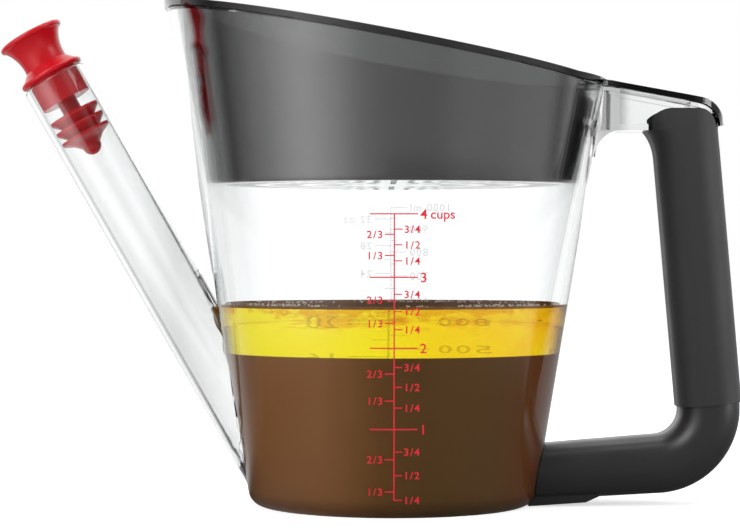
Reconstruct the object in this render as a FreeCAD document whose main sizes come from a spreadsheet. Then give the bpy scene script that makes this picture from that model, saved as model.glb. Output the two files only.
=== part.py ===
import FreeCAD, Part
import math
import os
import Sketcher

# Fat separator: a clear jug with a spout from its foot, a strainer that nests in the top,
# a silicone stopper in the spout and a two-part handle.
# Frame: the table is z = 0, the jug's axis is Z, the spout leans to -X and the handle is at +X.

# ---------------------------------------------------------------------------
# Driving dimensions, in millimetres and degrees
# ---------------------------------------------------------------------------

SIZES = [
    # jug
    ("base_radius", 48.5, "outer radius of the jug where its wall would meet the table"),
    ("wall_draft", 9.5, "lean of the jug's wall from the vertical"),
    ("jug_wall", 2.6, "thickness of the jug's wall, measured across"),
    ("jug_floor", 2.0, "thickness of the jug's floor"),
    ("foot_recess", 0.8, "depth of the hollow under the floor"),
    ("foot_width", 8.0, "width of the ring that the jug stands on"),
    ("base_round", 5.5, "round of the jug's lower edge"),
    ("inner_round", 5.0, "round between the floor and the wall inside"),
    # top line of the lid, seen from the side
    ("lip_margin", 0.4, "how far past the rim its top line is drawn, at the pouring tip"),
    ("lip_height", 171.6, "height of the lid over the spout"),
    ("rim_end_reach", 60.0, "distance from the axis to where the rim's long curve ends"),
    ("rim_fall", 26.2, "fall of the rim from the pouring tip to there"),
    ("rim_curve", 3300.0, "radius of the rim's long hollow curve"),
    ("tail_start_reach", 74.0, "distance from the axis to the start of the tail"),
    ("tail_start_fall", 1.1, "fall of the rim from the end of its curve to there"),
    ("tail_slope", 10.3, "fall of the tail"),
    ("tail_overhang", 13.45, "distance from the grip's axis, at the bridge, to the tail's end"),
    ("tail_tip_radius", 10.9, "radius that turns the tail down over the thumb end"),
    ("tail_tip_turn", 82.0, "angle that this radius turns through, from the vertical"),
    ("tail_width", 27.0, "width of the tail"),
    ("tail_flare", 16.0, "radius between the tail's sides and the rim"),
    ("lid_plate", 2.0, "thickness of the lid's rim and tail"),
    ("rim_overhang", 1.0, "how far the lid's rim stands out past the jug's wall"),
    # strainer basket
    ("basket_floor_height", 109.4, "height of the underside of the basket's floor"),
    ("basket_floor", 2.0, "thickness of the basket's floor"),
    ("basket_wall", 1.8, "thickness of the basket's wall"),
    ("basket_round", 1.5, "round of the basket's lower edge"),
    ("basket_gap", 0.6, "clearance between the basket and the jug's wall"),
    ("lid_seat_gap", 0.2, "clearance between the lid's plate and the jug's rim"),
    ("slot_width", 1.9, "width of a slot in the floor"),
    ("outer_ring_inner", 47.0, "inner radius of the outer ring of slots"),
    ("outer_ring_outer", 57.0, "outer radius of the outer ring of slots"),
    ("outer_ring_count", 60, "slots in the outer ring"),
    ("middle_ring_inner", 32.0, "inner radius of the middle ring of slots"),
    ("middle_ring_outer", 42.0, "outer radius of the middle ring of slots"),
    ("middle_ring_count", 40, "slots in the middle ring"),
    ("inner_ring_inner", 17.0, "inner radius of the inner ring of slots"),
    ("inner_ring_outer", 27.0, "outer radius of the inner ring of slots"),
    ("inner_ring_count", 20, "slots in the inner ring"),
    # spout
    ("spout_lean", 29.5, "lean of the spout from the vertical"),
    ("spout_foot_inset", 10.4, "distance in from the jug's lower edge to the end of the spout's axis"),
    ("spout_foot_height", 8.3, "height of that end"),
    ("spout_length", 158.0, "length of the spout's tube, from that end to its mouth"),
    ("spout_mouth_radius", 11.35, "outer radius of the tube at its mouth"),
    ("spout_foot_radius", 10.7, "outer radius of the tube at its foot"),
    ("spout_wall", 2.1, "thickness of the tube's wall"),
    ("mouth_round", 0.8, "round of the tube's edges at its mouth"),
    ("inlet_length", 26.5, "length of the spout's foot where its bore breaks through the jug's wall"),
    ("inlet_ledge", 0.4, "how much narrower than the bore that hole is, all round"),
    ("web_thickness", 4.0, "thickness of the web between spout and jug"),
    ("crotch_height", 78.4, "height of the bottom of the gap between spout and jug"),
    ("crotch_radius", 2.1, "radius at the bottom of that gap"),
    ("web_foot", 60.0, "height of the web's lower end"),
    # bridge from the jug to the handle
    ("bridge_depth", 16.6, "depth of the bridge below the start of the tail"),
    ("bridge_width", 20.0, "width of the bridge"),
    ("bridge_wall", 2.2, "thickness of the bridge's sides and underside"),
    ("bridge_flare", 12.0, "radius between the bridge's sides and the jug"),
    ("bridge_drop", 9.0, "radius under the bridge, where it meets the jug"),
    ("bridge_root", 7.6, "distance from the jug's wall to where those radii end"),
    ("trough_root", 7.1, "distance from the jug's wall to the start of the hollow in the bridge"),
    ("top_plate", 1.3, "thickness of the clear plate under the tail"),
    ("top_plate_inset", 1.2, "how far that plate stands back from the tail's edge"),
    ("trim_margin", 30.0, "how far past the lid the shapes that it trims are first built"),
    # joints between the jug and the handle
    ("tongue_length", 22.0, "length of the tongue below the bridge"),
    ("tongue_set_back", 0.45, "distance from the grip's axis, at the bridge, back to the tongue's"),
    ("tongue_thickness", 7.0, "thickness of the tongue along the bridge"),
    ("tongue_width", 11.0, "width of the tongue across the bridge"),
    ("lug_reach", 62.0, "distance from the axis to the end of the lug at the foot"),
    ("lug_width", 10.0, "width of the lug"),
    ("lug_bottom", 6.5, "height of the lug's underside"),
    ("lug_height", 8.0, "height of the lug"),
    ("socket_gap", 0.1, "clearance round the tongue, the lug and the saddle"),
    # handle
    ("handle_lean", 5.0, "lean of the grip from the vertical"),
    ("seam_reach", 108.1, "distance from the axis to the middle of the seam under the grip"),
    ("seam_height", 34.6, "height of the middle of that seam"),
    ("bend_radius", 18.9, "radius of the elbow's centre line"),
    ("lower_arm_rise", 3.9, "rise of the lower arm, away from the jug"),
    ("elbow_half_depth", 10.3, "half of the elbow's thickness at the seam"),
    ("elbow_half_width", 12.6, "half of the elbow's width at the seam"),
    ("arm_half_depth", 9.4, "half of the lower arm's height at the jug"),
    ("arm_half_width", 11.6, "half of the lower arm's width at the jug"),
    ("oval_round", 9.0, "corner radius of the handle's oval sections"),
    ("pad_inner_reach", 46.2, "distance from the axis to the near end of the foot pad"),
    ("pad_outer_reach", 65.6, "distance from the axis to the step in the foot pad"),
    ("pad_ramp_reach", 70.0, "distance from the axis to the top of that step"),
    ("pad_step_height", 1.3, "height of the pad's underside at the step"),
    ("pad_top", 9.0, "height of the pad's top, inside the arm"),
    ("pad_width", 15.0, "width of the foot pad"),
    ("spine_half_depth", 7.2, "half of the spine's thickness inside the grip"),
    ("spine_half_width", 9.6, "half of the spine's width inside the grip"),
    ("spine_round", 5.0, "corner radius of the spine"),
    # grip
    ("grip_half_depth", 10.9, "half of the grip's thickness"),
    ("grip_half_width", 13.3, "half of the grip's width"),
    ("grip_top_drop", 0.25, "depth of the grip's flat top below the crown of its round end"),
    ("collar_rise", 7.1, "height of the grip's top above the collar's tip"),
    ("collar_length", 9.0, "height over which the collar swells towards its tip"),
    ("collar_swell", 3.3, "how far the collar's tip stands out under the bridge"),
    ("collar_round", 9.0, "radius of the collar's upper edge beside the bridge"),
    ("grip_fit", 0.1, "clearance between the grip and what it is moulded over"),
    # stopper, measured along the spout from its mouth
    ("knob_radius", 11.4, "radius of the pull knob's rim"),
    ("knob_height", 15.2, "height of the knob's rim above the mouth"),
    ("knob_edge", 2.0, "thickness of the knob's rim"),
    ("knob_dish", 2.2, "depth of the dish in the knob's top"),
    ("waist_radius", 7.6, "radius of the waist under the knob"),
    ("waist_height", 5.4, "height of the waist above the mouth"),
    ("flange_radius", 11.3, "radius of the stopper's flange"),
    ("flange_thickness", 2.0, "thickness of the flange"),
    ("flange_seat_gap", 0.8, "clearance between the flange and the spout's mouth"),
    ("plug_length", 8.9, "length of the plug below the mouth"),
    ("plug_gap", 0.45, "clearance between the plug and the bore"),
    ("neck_radius", 3.4, "radius of the neck between plug and fins"),
    ("first_fin", 14.2, "distance from the mouth down to the first fin"),
    ("fin_pitch", 3.9, "distance from one fin to the next"),
    ("fin_thickness", 1.0, "thickness of a fin at its edge"),
    ("fin_root", 1.6, "thickness that the last fin gains towards the tip"),
    ("fin_gap", 0.25, "clearance between the fins and the bore"),
    ("fin_core", 5.6, "radius at which a fin's underside meets what is below it"),
    ("tip_radius", 3.3, "radius of the rounded tip"),
    ("tip_depth", 29.5, "distance from the mouth down to the end of the tip"),
]


def grip_axis(height):
    """X of the grip's axis at a height."""
    return "(seam_reach - ((%s) - seam_height) * tan(handle_lean))" % height


# Places that follow from the sizes above. A formula may use these names as it uses a size.
PLACES = {
    # how far tall and wide shapes are first built, before they are trimmed
    "trim_top": "lip_height + trim_margin",
    "trim_reach": "tail_reach + trim_margin",
    "through": "2 * trim_reach",
    # top line of the lid
    "lip_reach": "base_radius + lip_height * tan(wall_draft) + rim_overhang + lip_margin",
    "rim_end_height": "lip_height - rim_fall",
    "tail_start_height": "rim_end_height - tail_start_fall",
    "tail_reach": "grip_reach + tail_overhang",
    "tip_x": "tail_reach - tail_tip_radius",
    "tip_run": "tip_x + tail_tip_radius * sin(tail_slope) - tail_start_reach",
    "tip_z": "tail_start_height - tip_run * tan(tail_slope) - tail_tip_radius * cos(tail_slope)",
    # jug
    "floor_top": "foot_recess + jug_floor",
    "lid_seat": "lid_plate + lid_seat_gap",
    # spout
    "spout_foot_reach": "base_radius - spout_foot_inset",
    "spout_mouth_reach": "spout_foot_reach + spout_length * sin(spout_lean)",
    "spout_mouth_height": "spout_foot_height + spout_length * cos(spout_lean)",
    "inlet_start": "spout_length - inlet_length",
    # bridge, and the tongue that is flush with its end
    "bridge_underside": "tail_start_height - bridge_depth",
    "bridge_jug_radius": "base_radius + bridge_underside * tan(wall_draft)",
    "bridge_root_end": "bridge_jug_radius + bridge_root",
    "trough_start": "bridge_jug_radius + trough_root",
    "tongue_reach": "grip_reach - tongue_set_back",
    "bridge_end": "tongue_reach + tongue_thickness / 2",
    # handle
    "grip_reach": grip_axis("bridge_underside"),
    "spine_climb": "bridge_underside - seam_height + spine_half_depth * sin(handle_lean)",
    "spine_length": "spine_climb / cos(handle_lean)",
    "notch_radius": "tail_tip_radius - lid_seat - top_plate - grip_fit",
    "grip_top": "tip_z + notch_radius - grip_top_drop",
    "collar_height": "grip_top - collar_rise",
    "grip_shoulder": "collar_height - collar_length",
    "collar_tip_reach": grip_axis("collar_height") + " - grip_half_depth - collar_swell",
}

# ---------------------------------------------------------------------------
# Document and sheet
# ---------------------------------------------------------------------------

doc = FreeCAD.newDocument("FatSeparator")
sheet = doc.addObject("Spreadsheet::Sheet", "Sizes")
for row, (alias, size, note) in enumerate(SIZES, start=1):
    sheet.set("A%d" % row, alias)
    sheet.set("B%d" % row, str(size))
    sheet.setAlias("B%d" % row, alias)
    sheet.set("C%d" % row, note)
doc.recompute()

ALIASES = {alias for alias, size, note in SIZES}


def tied(formula):
    """Turn a formula of size and place names into an expression that reads the sheet."""
    words = []
    word = ""
    for letter in formula + " ":
        if letter.isalnum() or letter == "_":
            word += letter
            continue
        if word in PLACES:
            words.append("(" + tied(PLACES[word]) + ")")
        else:
            words.append("Sizes." + word if word in ALIASES else word)
        words.append(letter)
        word = ""
    return "".join(words).strip()


def number(formula):
    """Value of a formula now, as a plain float."""
    result = sheet.evalExpression(tied(formula))
    return float(result.Value) if hasattr(result, "Value") else float(result)


# ---------------------------------------------------------------------------
# Formulas that several pieces share
# ---------------------------------------------------------------------------

def jug_radius(height, inset="0"):
    """Outer radius of the jug's wall at a height, less an inset."""
    return "(base_radius + (%s) * tan(wall_draft) - (%s))" % (height, inset)


def jug_corner(radius, floor, inset):
    """Two ends of a round between a level floor and the jug's wall.

    The first end is on the floor and the second on the wall.
    """
    reach = "((%s) * tan((90 - wall_draft) / 2))" % radius
    foot = jug_radius(floor, inset)
    floor_end = ("%s - %s" % (foot, reach), floor)
    wall_end = ("%s + %s * sin(wall_draft)" % (foot, reach), "%s + %s * cos(wall_draft)" % (floor, reach))
    return floor_end, wall_end


def along_spout_x(distance, aside="0"):
    """X of a point at a distance down the spout, and aside from its axis towards the jug."""
    return "(-spout_mouth_reach + (%s) * sin(spout_lean) + (%s) * cos(spout_lean))" % (distance, aside)


def along_spout_z(distance, aside="0"):
    """Z of the same point."""
    return "(spout_mouth_height - (%s) * cos(spout_lean) + (%s) * sin(spout_lean))" % (distance, aside)


def spout_radius(distance, inset="0"):
    """Outer radius of the spout's tube at a distance down it, less an inset."""
    fall = "(spout_mouth_radius - spout_foot_radius) / spout_length"
    return "(spout_mouth_radius - (%s) * %s - (%s))" % (distance, fall, inset)


def spout_point(distance, inset, arc=None):
    """Corner on the spout's outer side, at a distance down it and an inset from its surface."""
    aside = "-" + spout_radius(distance, inset)
    return (along_spout_x(distance, aside), along_spout_z(distance, aside), arc)


def tip_point(radius, turn):
    """X and Z of a point on the round that turns the tail down, at a turn from straight up."""
    return "tip_x + %s * sin(%s)" % (radius, turn), "tip_z + %s * cos(%s)" % (radius, turn)


def lid_line(depth):
    """Corners of the lid's top line, at a depth below it, from the pouring tip to the tail's end.

    Each corner is (x, z, arc), where arc is None or (radius, turn) for the side that leaves it.
    """
    inner = "(tail_tip_radius - (%s))" % depth
    return [
        ("-lip_reach", "lip_height - (%s)" % depth, ("rim_curve", 1)),
        ("rim_end_reach", "rim_end_height - (%s)" % depth, None),
        ("tail_start_reach", "tail_start_height - (%s) / cos(tail_slope)" % depth, None),
        (*tip_point(inner, "tail_slope"), (inner, -1)),
        (*tip_point(inner, "tail_tip_turn"), None),
    ]


def above_lid_line(depth):
    """Outline of everything above the lid's line at a depth."""
    line = lid_line(depth)
    end_z = line[-1][1]
    return line + [
        ("trim_reach", end_z, None),
        ("trim_reach", "trim_top", None),
        ("-trim_reach", "trim_top", None),
        ("-trim_reach", "lip_height - (%s)" % depth, None),
    ]


def below_lid_line(depth, outer_depth):
    """Outline of everything below the lid's line at a depth, with a square end at the tail."""
    line = lid_line(depth)
    outer_end = lid_line(outer_depth)[-1]
    return line + [
        (outer_end[0], outer_end[1], None),
        ("trim_reach", outer_end[1], None),
        ("trim_reach", "0", None),
        ("-trim_reach", "0", None),
        ("-trim_reach", "lip_height - (%s)" % depth, None),
    ]


def oval(centre_x, half_x, half_y, corner):
    """Outline of an oval: a box with large round corners, about a centre on the X axis."""
    left = "(%s) - (%s)" % (centre_x, half_x)
    right = "(%s) + (%s)" % (centre_x, half_x)
    return [
        ("%s + (%s)" % (left, corner), "-(%s)" % half_y, None),
        ("%s - (%s)" % (right, corner), "-(%s)" % half_y, (corner, 1)),
        (right, "-(%s) + (%s)" % (half_y, corner), None),
        (right, "(%s) - (%s)" % (half_y, corner), (corner, 1)),
        ("%s - (%s)" % (right, corner), "(%s)" % half_y, None),
        ("%s + (%s)" % (left, corner), "(%s)" % half_y, (corner, 1)),
        (left, "(%s) - (%s)" % (half_y, corner), None),
        (left, "-(%s) + (%s)" % (half_y, corner), (corner, 1)),
    ]


def box_outline(low_x, high_x, low_y, high_y):
    """Outline of a plain rectangle."""
    return [(low_x, low_y, None), (high_x, low_y, None), (high_x, high_y, None), (low_x, high_y, None)]


# ---------------------------------------------------------------------------
# Sketches and features
# ---------------------------------------------------------------------------

def new_body(label):
    """A PartDesign body whose label is the piece's name."""
    body = doc.addObject("PartDesign::Body", label)
    body.Label = label
    return body


def origin_feature(body, role):
    """One of a body's own origin planes or axes, by its role."""
    for feature in body.Origin.OriginFeatures:
        if feature.Role == role:
            return feature
    raise ValueError("no origin feature " + role)


def attach(body, sketch, role, height=None, reach=None, turn=None):
    """Lay a sketch on an origin plane, lifted by a height, moved and turned by formulas."""
    sketch.AttachmentSupport = [(origin_feature(body, role), "")]
    sketch.MapMode = "FlatFace"
    if turn is not None:
        sketch.AttachmentOffset = FreeCAD.Placement(
            FreeCAD.Vector(0, 0, 0), FreeCAD.Rotation(FreeCAD.Vector(0, 1, 0), 10)
        )
        sketch.setExpression("AttachmentOffset.Rotation.Angle", tied(turn))
    if reach is not None:
        sketch.setExpression("AttachmentOffset.Base.x", tied(reach))
    if height is not None:
        sketch.setExpression("AttachmentOffset.Base.z", tied(height))


def arc_between(start, end, radius, turn):
    """Short arc between two points. turn is 1 with the centre to the left of the way, -1 to the right."""
    middle = (start + end) * 0.5
    chord = end - start
    half = chord.Length / 2
    rise = math.sqrt(max(radius * radius - half * half, 0.0))
    left = FreeCAD.Vector(-chord.y, chord.x, 0) * (1 / chord.Length)
    centre = middle + left * (rise * turn)
    first = start if turn > 0 else end
    second = end if turn > 0 else start
    first_angle = math.atan2(first.y - centre.y, first.x - centre.x)
    second_angle = math.atan2(second.y - centre.y, second.x - centre.x)
    circle = Part.Circle(centre, FreeCAD.Vector(0, 0, 1), radius)
    return Part.ArcOfCircle(circle, first_angle, second_angle)


def tie(sketch, constraint, formula):
    """Add a dimension to a sketch and bind it to the sheet."""
    index = sketch.addConstraint(constraint)
    sketch.setExpression("Constraints[%d]" % index, tied(formula))


def outline_sketch(body, name, role, outline, height=None, reach=None, turn=None, is_open=False):
    """A sketch of straight and round sides whose corners and radii are all bound to the sheet."""
    sketch = body.newObject("Sketcher::SketchObject", name)
    attach(body, sketch, role, height, reach, turn)
    points = [FreeCAD.Vector(number(x), number(y), 0) for x, y, arc in outline]
    count = len(outline)
    sides = count - 1 if is_open else count
    starts = []
    ends = []
    for index in range(sides):
        arc = outline[index][2]
        start = points[index]
        end = points[(index + 1) % count]
        if arc is None:
            sketch.addGeometry(Part.LineSegment(start, end), False)
            starts.append((index, 1))
            ends.append((index, 2))
            continue
        radius, turn_side = arc
        sketch.addGeometry(arc_between(start, end, number(radius), turn_side), False)
        starts.append((index, 1 if turn_side > 0 else 2))
        ends.append((index, 2 if turn_side > 0 else 1))
    for index in range(sides - 1 if is_open else sides):
        following = (index + 1) % sides
        sketch.addConstraint(Sketcher.Constraint("Coincident", *ends[index], *starts[following]))
    vertices = starts + ([ends[-1]] if is_open else [])
    for index, (geometry, position) in enumerate(vertices):
        x, y, arc = outline[index]
        tie(sketch, Sketcher.Constraint("DistanceX", -1, 1, geometry, position, points[index].x), x)
        tie(sketch, Sketcher.Constraint("DistanceY", -1, 1, geometry, position, points[index].y), y)
    for index in range(sides):
        arc = outline[index][2]
        if arc is not None:
            tie(sketch, Sketcher.Constraint("Radius", index, number(arc[0])), arc[0])
    return sketch


def pad(body, name, sketch, length, midplane=False):
    """Pad a sketch by a length."""
    feature = body.newObject("PartDesign::Pad", name)
    feature.Profile = sketch
    feature.Midplane = midplane
    feature.setExpression("Length", tied(length))
    return feature


def pocket(body, name, sketch, length, midplane=False, upwards=False):
    """Cut a sketch out of the body by a length."""
    feature = body.newObject("PartDesign::Pocket", name)
    feature.Profile = sketch
    feature.Midplane = midplane
    feature.Reversed = upwards
    feature.setExpression("Length", tied(length))
    return feature


def turned(body, kind, name, sketch, axis):
    """Revolve a sketch fully about an axis, to add (Revolution) or to cut (Groove)."""
    feature = body.newObject("PartDesign::" + kind, name)
    feature.Profile = sketch
    feature.ReferenceAxis = axis
    feature.Angle = 360.0
    return feature


def loft(body, name, sections):
    """Loft through sketches."""
    feature = body.newObject("PartDesign::AdditiveLoft", name)
    feature.Profile = sections[0]
    feature.Sections = sections[1:]
    return feature


def ring_pattern(body, name, feature, count):
    """Repeat a feature round the jug's axis."""
    pattern = body.newObject("PartDesign::PolarPattern", name)
    pattern.Originals = [feature]
    pattern.Axis = (origin_feature(body, "Z_Axis"), [""])
    pattern.Angle = 360.0
    pattern.setExpression("Occurrences", tied(count))
    body.Tip = pattern
    return pattern


def cuts(body, feature, least=1.0):
    """Make sure that a cut took material away."""
    doc.recompute()
    base = feature.BaseFeature
    if base.Shape.Volume - feature.Shape.Volume < least:
        raise ValueError(feature.Name + " cuts nothing")


# ---------------------------------------------------------------------------
# Pitcher: jug, spout, web, bridge, tongue and lug in one clear moulding
# ---------------------------------------------------------------------------

def make_pitcher():
    """The clear moulding."""
    body = new_body("pitcher")
    z_axis = (origin_feature(body, "Z_Axis"), [""])
    foot_inner = "(base_radius - base_round - foot_width)"
    outer_floor_end, outer_wall_end = jug_corner("base_round", "0", "0")

    blank = [
        ("0", "foot_recess", None),
        (foot_inner, "foot_recess", None),
        (foot_inner + " + foot_recess", "0", None),
        (*outer_floor_end, ("base_round", 1)),
        (*outer_wall_end, None),
        (jug_radius("trim_top"), "trim_top", None),
        ("0", "trim_top", None),
    ]
    turned(body, "Revolution", "JugBlank", outline_sketch(body, "JugOutline", "XZ_Plane", blank), z_axis)

    tube = [
        spout_point("0", "mouth_round", ("mouth_round", 1)),
        spout_point("mouth_round", "0"),
        spout_point("spout_length", "0"),
        spout_point("spout_length", "spout_wall"),
        spout_point("mouth_round", "spout_wall", ("mouth_round", 1)),
        spout_point("0", "spout_wall - mouth_round"),
    ]
    tube_sketch = outline_sketch(body, "SpoutTubeOutline", "XZ_Plane", tube)
    add_spout_axis(tube_sketch)
    turned(body, "Revolution", "SpoutTube", tube_sketch, (tube_sketch, ["Axis0"]))

    crotch_z = "(crotch_height + crotch_radius)"
    foot_x = "-" + jug_radius("web_foot", "jug_wall / 2")
    web = [
        ("-" + jug_radius(crotch_z, "jug_wall / 2"), crotch_z, None),
        (gap_middle(crotch_z) + " + crotch_radius", crotch_z, ("crotch_radius", -1)),
        (gap_middle(crotch_z), "crotch_height", ("crotch_radius", -1)),
        (gap_middle(crotch_z) + " - crotch_radius", crotch_z, None),
        (spout_edge(crotch_z, "spout_wall / 2"), crotch_z, None),
        (foot_x, "web_foot", None),
    ]
    pad(body, "SpoutWeb", outline_sketch(body, "SpoutWebOutline", "XZ_Plane", web), "web_thickness", True)

    low_z = "(bridge_underside - bridge_drop)"
    arm = flared_arm("rim_end_reach", "bridge_end", "bridge_width / 2", "bridge_flare", "bridge_root_end")
    arm_sketch = outline_sketch(body, "BridgeOutline", "XY_Plane", arm, "bridge_underside")
    pad(body, "Bridge", arm_sketch, "trim_top - bridge_underside")
    under = [
        ("bridge_root_end", "bridge_underside + bridge_wall", None),
        ("rim_end_reach + bridge_wall", "bridge_underside + bridge_wall", None),
        (jug_radius(low_z, "jug_wall / 2"), low_z, None),
        ("bridge_root_end - bridge_drop", low_z, ("bridge_drop", -1)),
        ("bridge_root_end", "bridge_underside", None),
    ]
    under_sketch = outline_sketch(body, "BridgeRootOutline", "XZ_Plane", under)
    pad(body, "BridgeRoot", under_sketch, "bridge_width", True)

    plate_depth = "lid_seat + top_plate"
    plate_end = lid_line(plate_depth)[-1]
    strip = [
        ("rim_end_reach", "rim_end_height", None),
        ("rim_end_reach", lid_line(plate_depth)[1][1], None),
        lid_line(plate_depth)[2],
        lid_line(plate_depth)[3],
        plate_end,
        (lid_line("lid_seat")[-1][0], lid_line("lid_seat")[-1][1], None),
        ("tail_reach", lid_line("lid_seat")[-1][1], None),
        ("tail_reach", "rim_end_height", None),
    ]
    plate_width = "tail_width - 2 * top_plate_inset"
    pad(body, "TopPlate", outline_sketch(body, "TopPlateOutline", "XZ_Plane", strip), plate_width, True)

    tongue = box_outline("tongue_reach - tongue_thickness / 2", "tongue_reach + tongue_thickness / 2",
                         "-tongue_width / 2", "tongue_width / 2")
    tongue_foot = "bridge_underside - tongue_length"
    tongue_sketch = outline_sketch(body, "TongueOutline", "XY_Plane", tongue, tongue_foot)
    pad(body, "Tongue", tongue_sketch, "tongue_length + bridge_wall")

    lug = box_outline(jug_radius("lug_bottom", "jug_wall"), "lug_reach",
                      "lug_bottom", "lug_bottom + lug_height")
    pad(body, "Lug", outline_sketch(body, "LugOutline", "XZ_Plane", lug), "lug_width", True)

    inner_floor_end, inner_wall_end = jug_corner("inner_round", "floor_top", "jug_wall")
    inside = [
        ("0", "floor_top", None),
        (*inner_floor_end, ("inner_round", 1)),
        (*inner_wall_end, None),
        (jug_radius("trim_top", "jug_wall"), "trim_top", None),
        ("0", "trim_top", None),
    ]
    inside_sketch = outline_sketch(body, "JugInsideOutline", "XZ_Plane", inside)
    cuts(body, turned(body, "Groove", "JugInside", inside_sketch, z_axis))

    inlet = [
        (along_spout_x("inlet_start"), along_spout_z("inlet_start"), None),
        spout_point("inlet_start", "spout_wall + inlet_ledge"),
        spout_point("spout_length", "spout_wall + inlet_ledge"),
        (along_spout_x("spout_length"), along_spout_z("spout_length"), None),
    ]
    inlet_sketch = outline_sketch(body, "SpoutInletOutline", "XZ_Plane", inlet)
    add_spout_axis(inlet_sketch)
    cuts(body, turned(body, "Groove", "SpoutInlet", inlet_sketch, (inlet_sketch, ["Axis0"])))

    top_sketch = outline_sketch(body, "TopLine", "XZ_Plane", above_lid_line("lid_seat"))
    cuts(body, pocket(body, "TopCut", top_sketch, "through", True))

    trough = box_outline("trough_start", "bridge_end - bridge_wall",
                         "-bridge_width / 2 + bridge_wall", "bridge_width / 2 - bridge_wall")
    trough_floor = "bridge_underside + bridge_wall"
    trough_sketch = outline_sketch(body, "TroughOutline", "XY_Plane", trough, trough_floor)
    cuts(body, pocket(body, "Trough", trough_sketch, "trim_top", False, True))

    end_radius = "(tail_width / 2 - top_plate_inset)"
    corners = outside_round_end(end_radius, "tail_reach - lid_seat")
    corner_foot = "bridge_underside - bridge_drop"
    corner_sketch = outline_sketch(body, "PlateEndOutline", "XY_Plane", corners, corner_foot)
    cuts(body, pocket(body, "PlateEnd", corner_sketch, "trim_top", False, True), 0.1)
    return body


def add_spout_axis(sketch):
    """Construction line along the spout's axis, tied to the spout's own sizes."""
    ends = [(along_spout_x(distance), along_spout_z(distance)) for distance in ("0", "spout_length")]
    points = [FreeCAD.Vector(number(x), number(z), 0) for x, z in ends]
    line = sketch.addGeometry(Part.LineSegment(points[0], points[1]), True)
    for position, (x, z) in enumerate(ends, start=1):
        point = points[position - 1]
        tie(sketch, Sketcher.Constraint("DistanceX", -1, 1, line, position, point.x), x)
        tie(sketch, Sketcher.Constraint("DistanceY", -1, 1, line, position, point.y), z)


def spout_edge(height, inset="0"):
    """X of the spout's edge nearest the jug at a height, less an inset."""
    down = "((spout_mouth_height - (%s)) / cos(spout_lean))" % height
    across = "(%s / cos(spout_lean))" % spout_radius(down, inset)
    return "(-spout_mouth_reach + (spout_mouth_height - (%s)) * tan(spout_lean) + %s)" % (height, across)


def gap_middle(height):
    """X halfway between the spout and the jug at a height."""
    return "((%s - %s) / 2)" % (spout_edge(height), jug_radius(height))


def flared_arm(start, end, half_width, flare, flare_end):
    """Plan of an arm towards +X whose sides flare out where it leaves the jug."""
    wide = "%s + %s" % (half_width, flare)
    root = "%s - %s" % (flare_end, flare)
    return [
        (start, "-(%s)" % wide, None),
        (root, "-(%s)" % wide, (flare, -1)),
        (flare_end, "-(%s)" % half_width, None),
        (end, "-(%s)" % half_width, None),
        (end, half_width, None),
        (flare_end, half_width, (flare, -1)),
        (root, wide, None),
        (start, wide, None),
    ]


def outside_round_end(radius, reach):
    """Plan of what lies outside a round end that reaches to +X."""
    centre = "(%s) - %s" % (reach, radius)
    wide = "%s + jug_floor" % radius
    return [
        (centre, "-" + radius, (radius, 1)),
        (reach, "0", (radius, 1)),
        (centre, radius, None),
        (centre, wide, None),
        ("trim_reach", wide, None),
        ("trim_reach", "-(%s)" % wide, None),
        (centre, "-(%s)" % wide, None),
    ]


# ---------------------------------------------------------------------------
# Strainer: rim, basket, slotted floor and tail in one dark moulding
# ---------------------------------------------------------------------------

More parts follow.
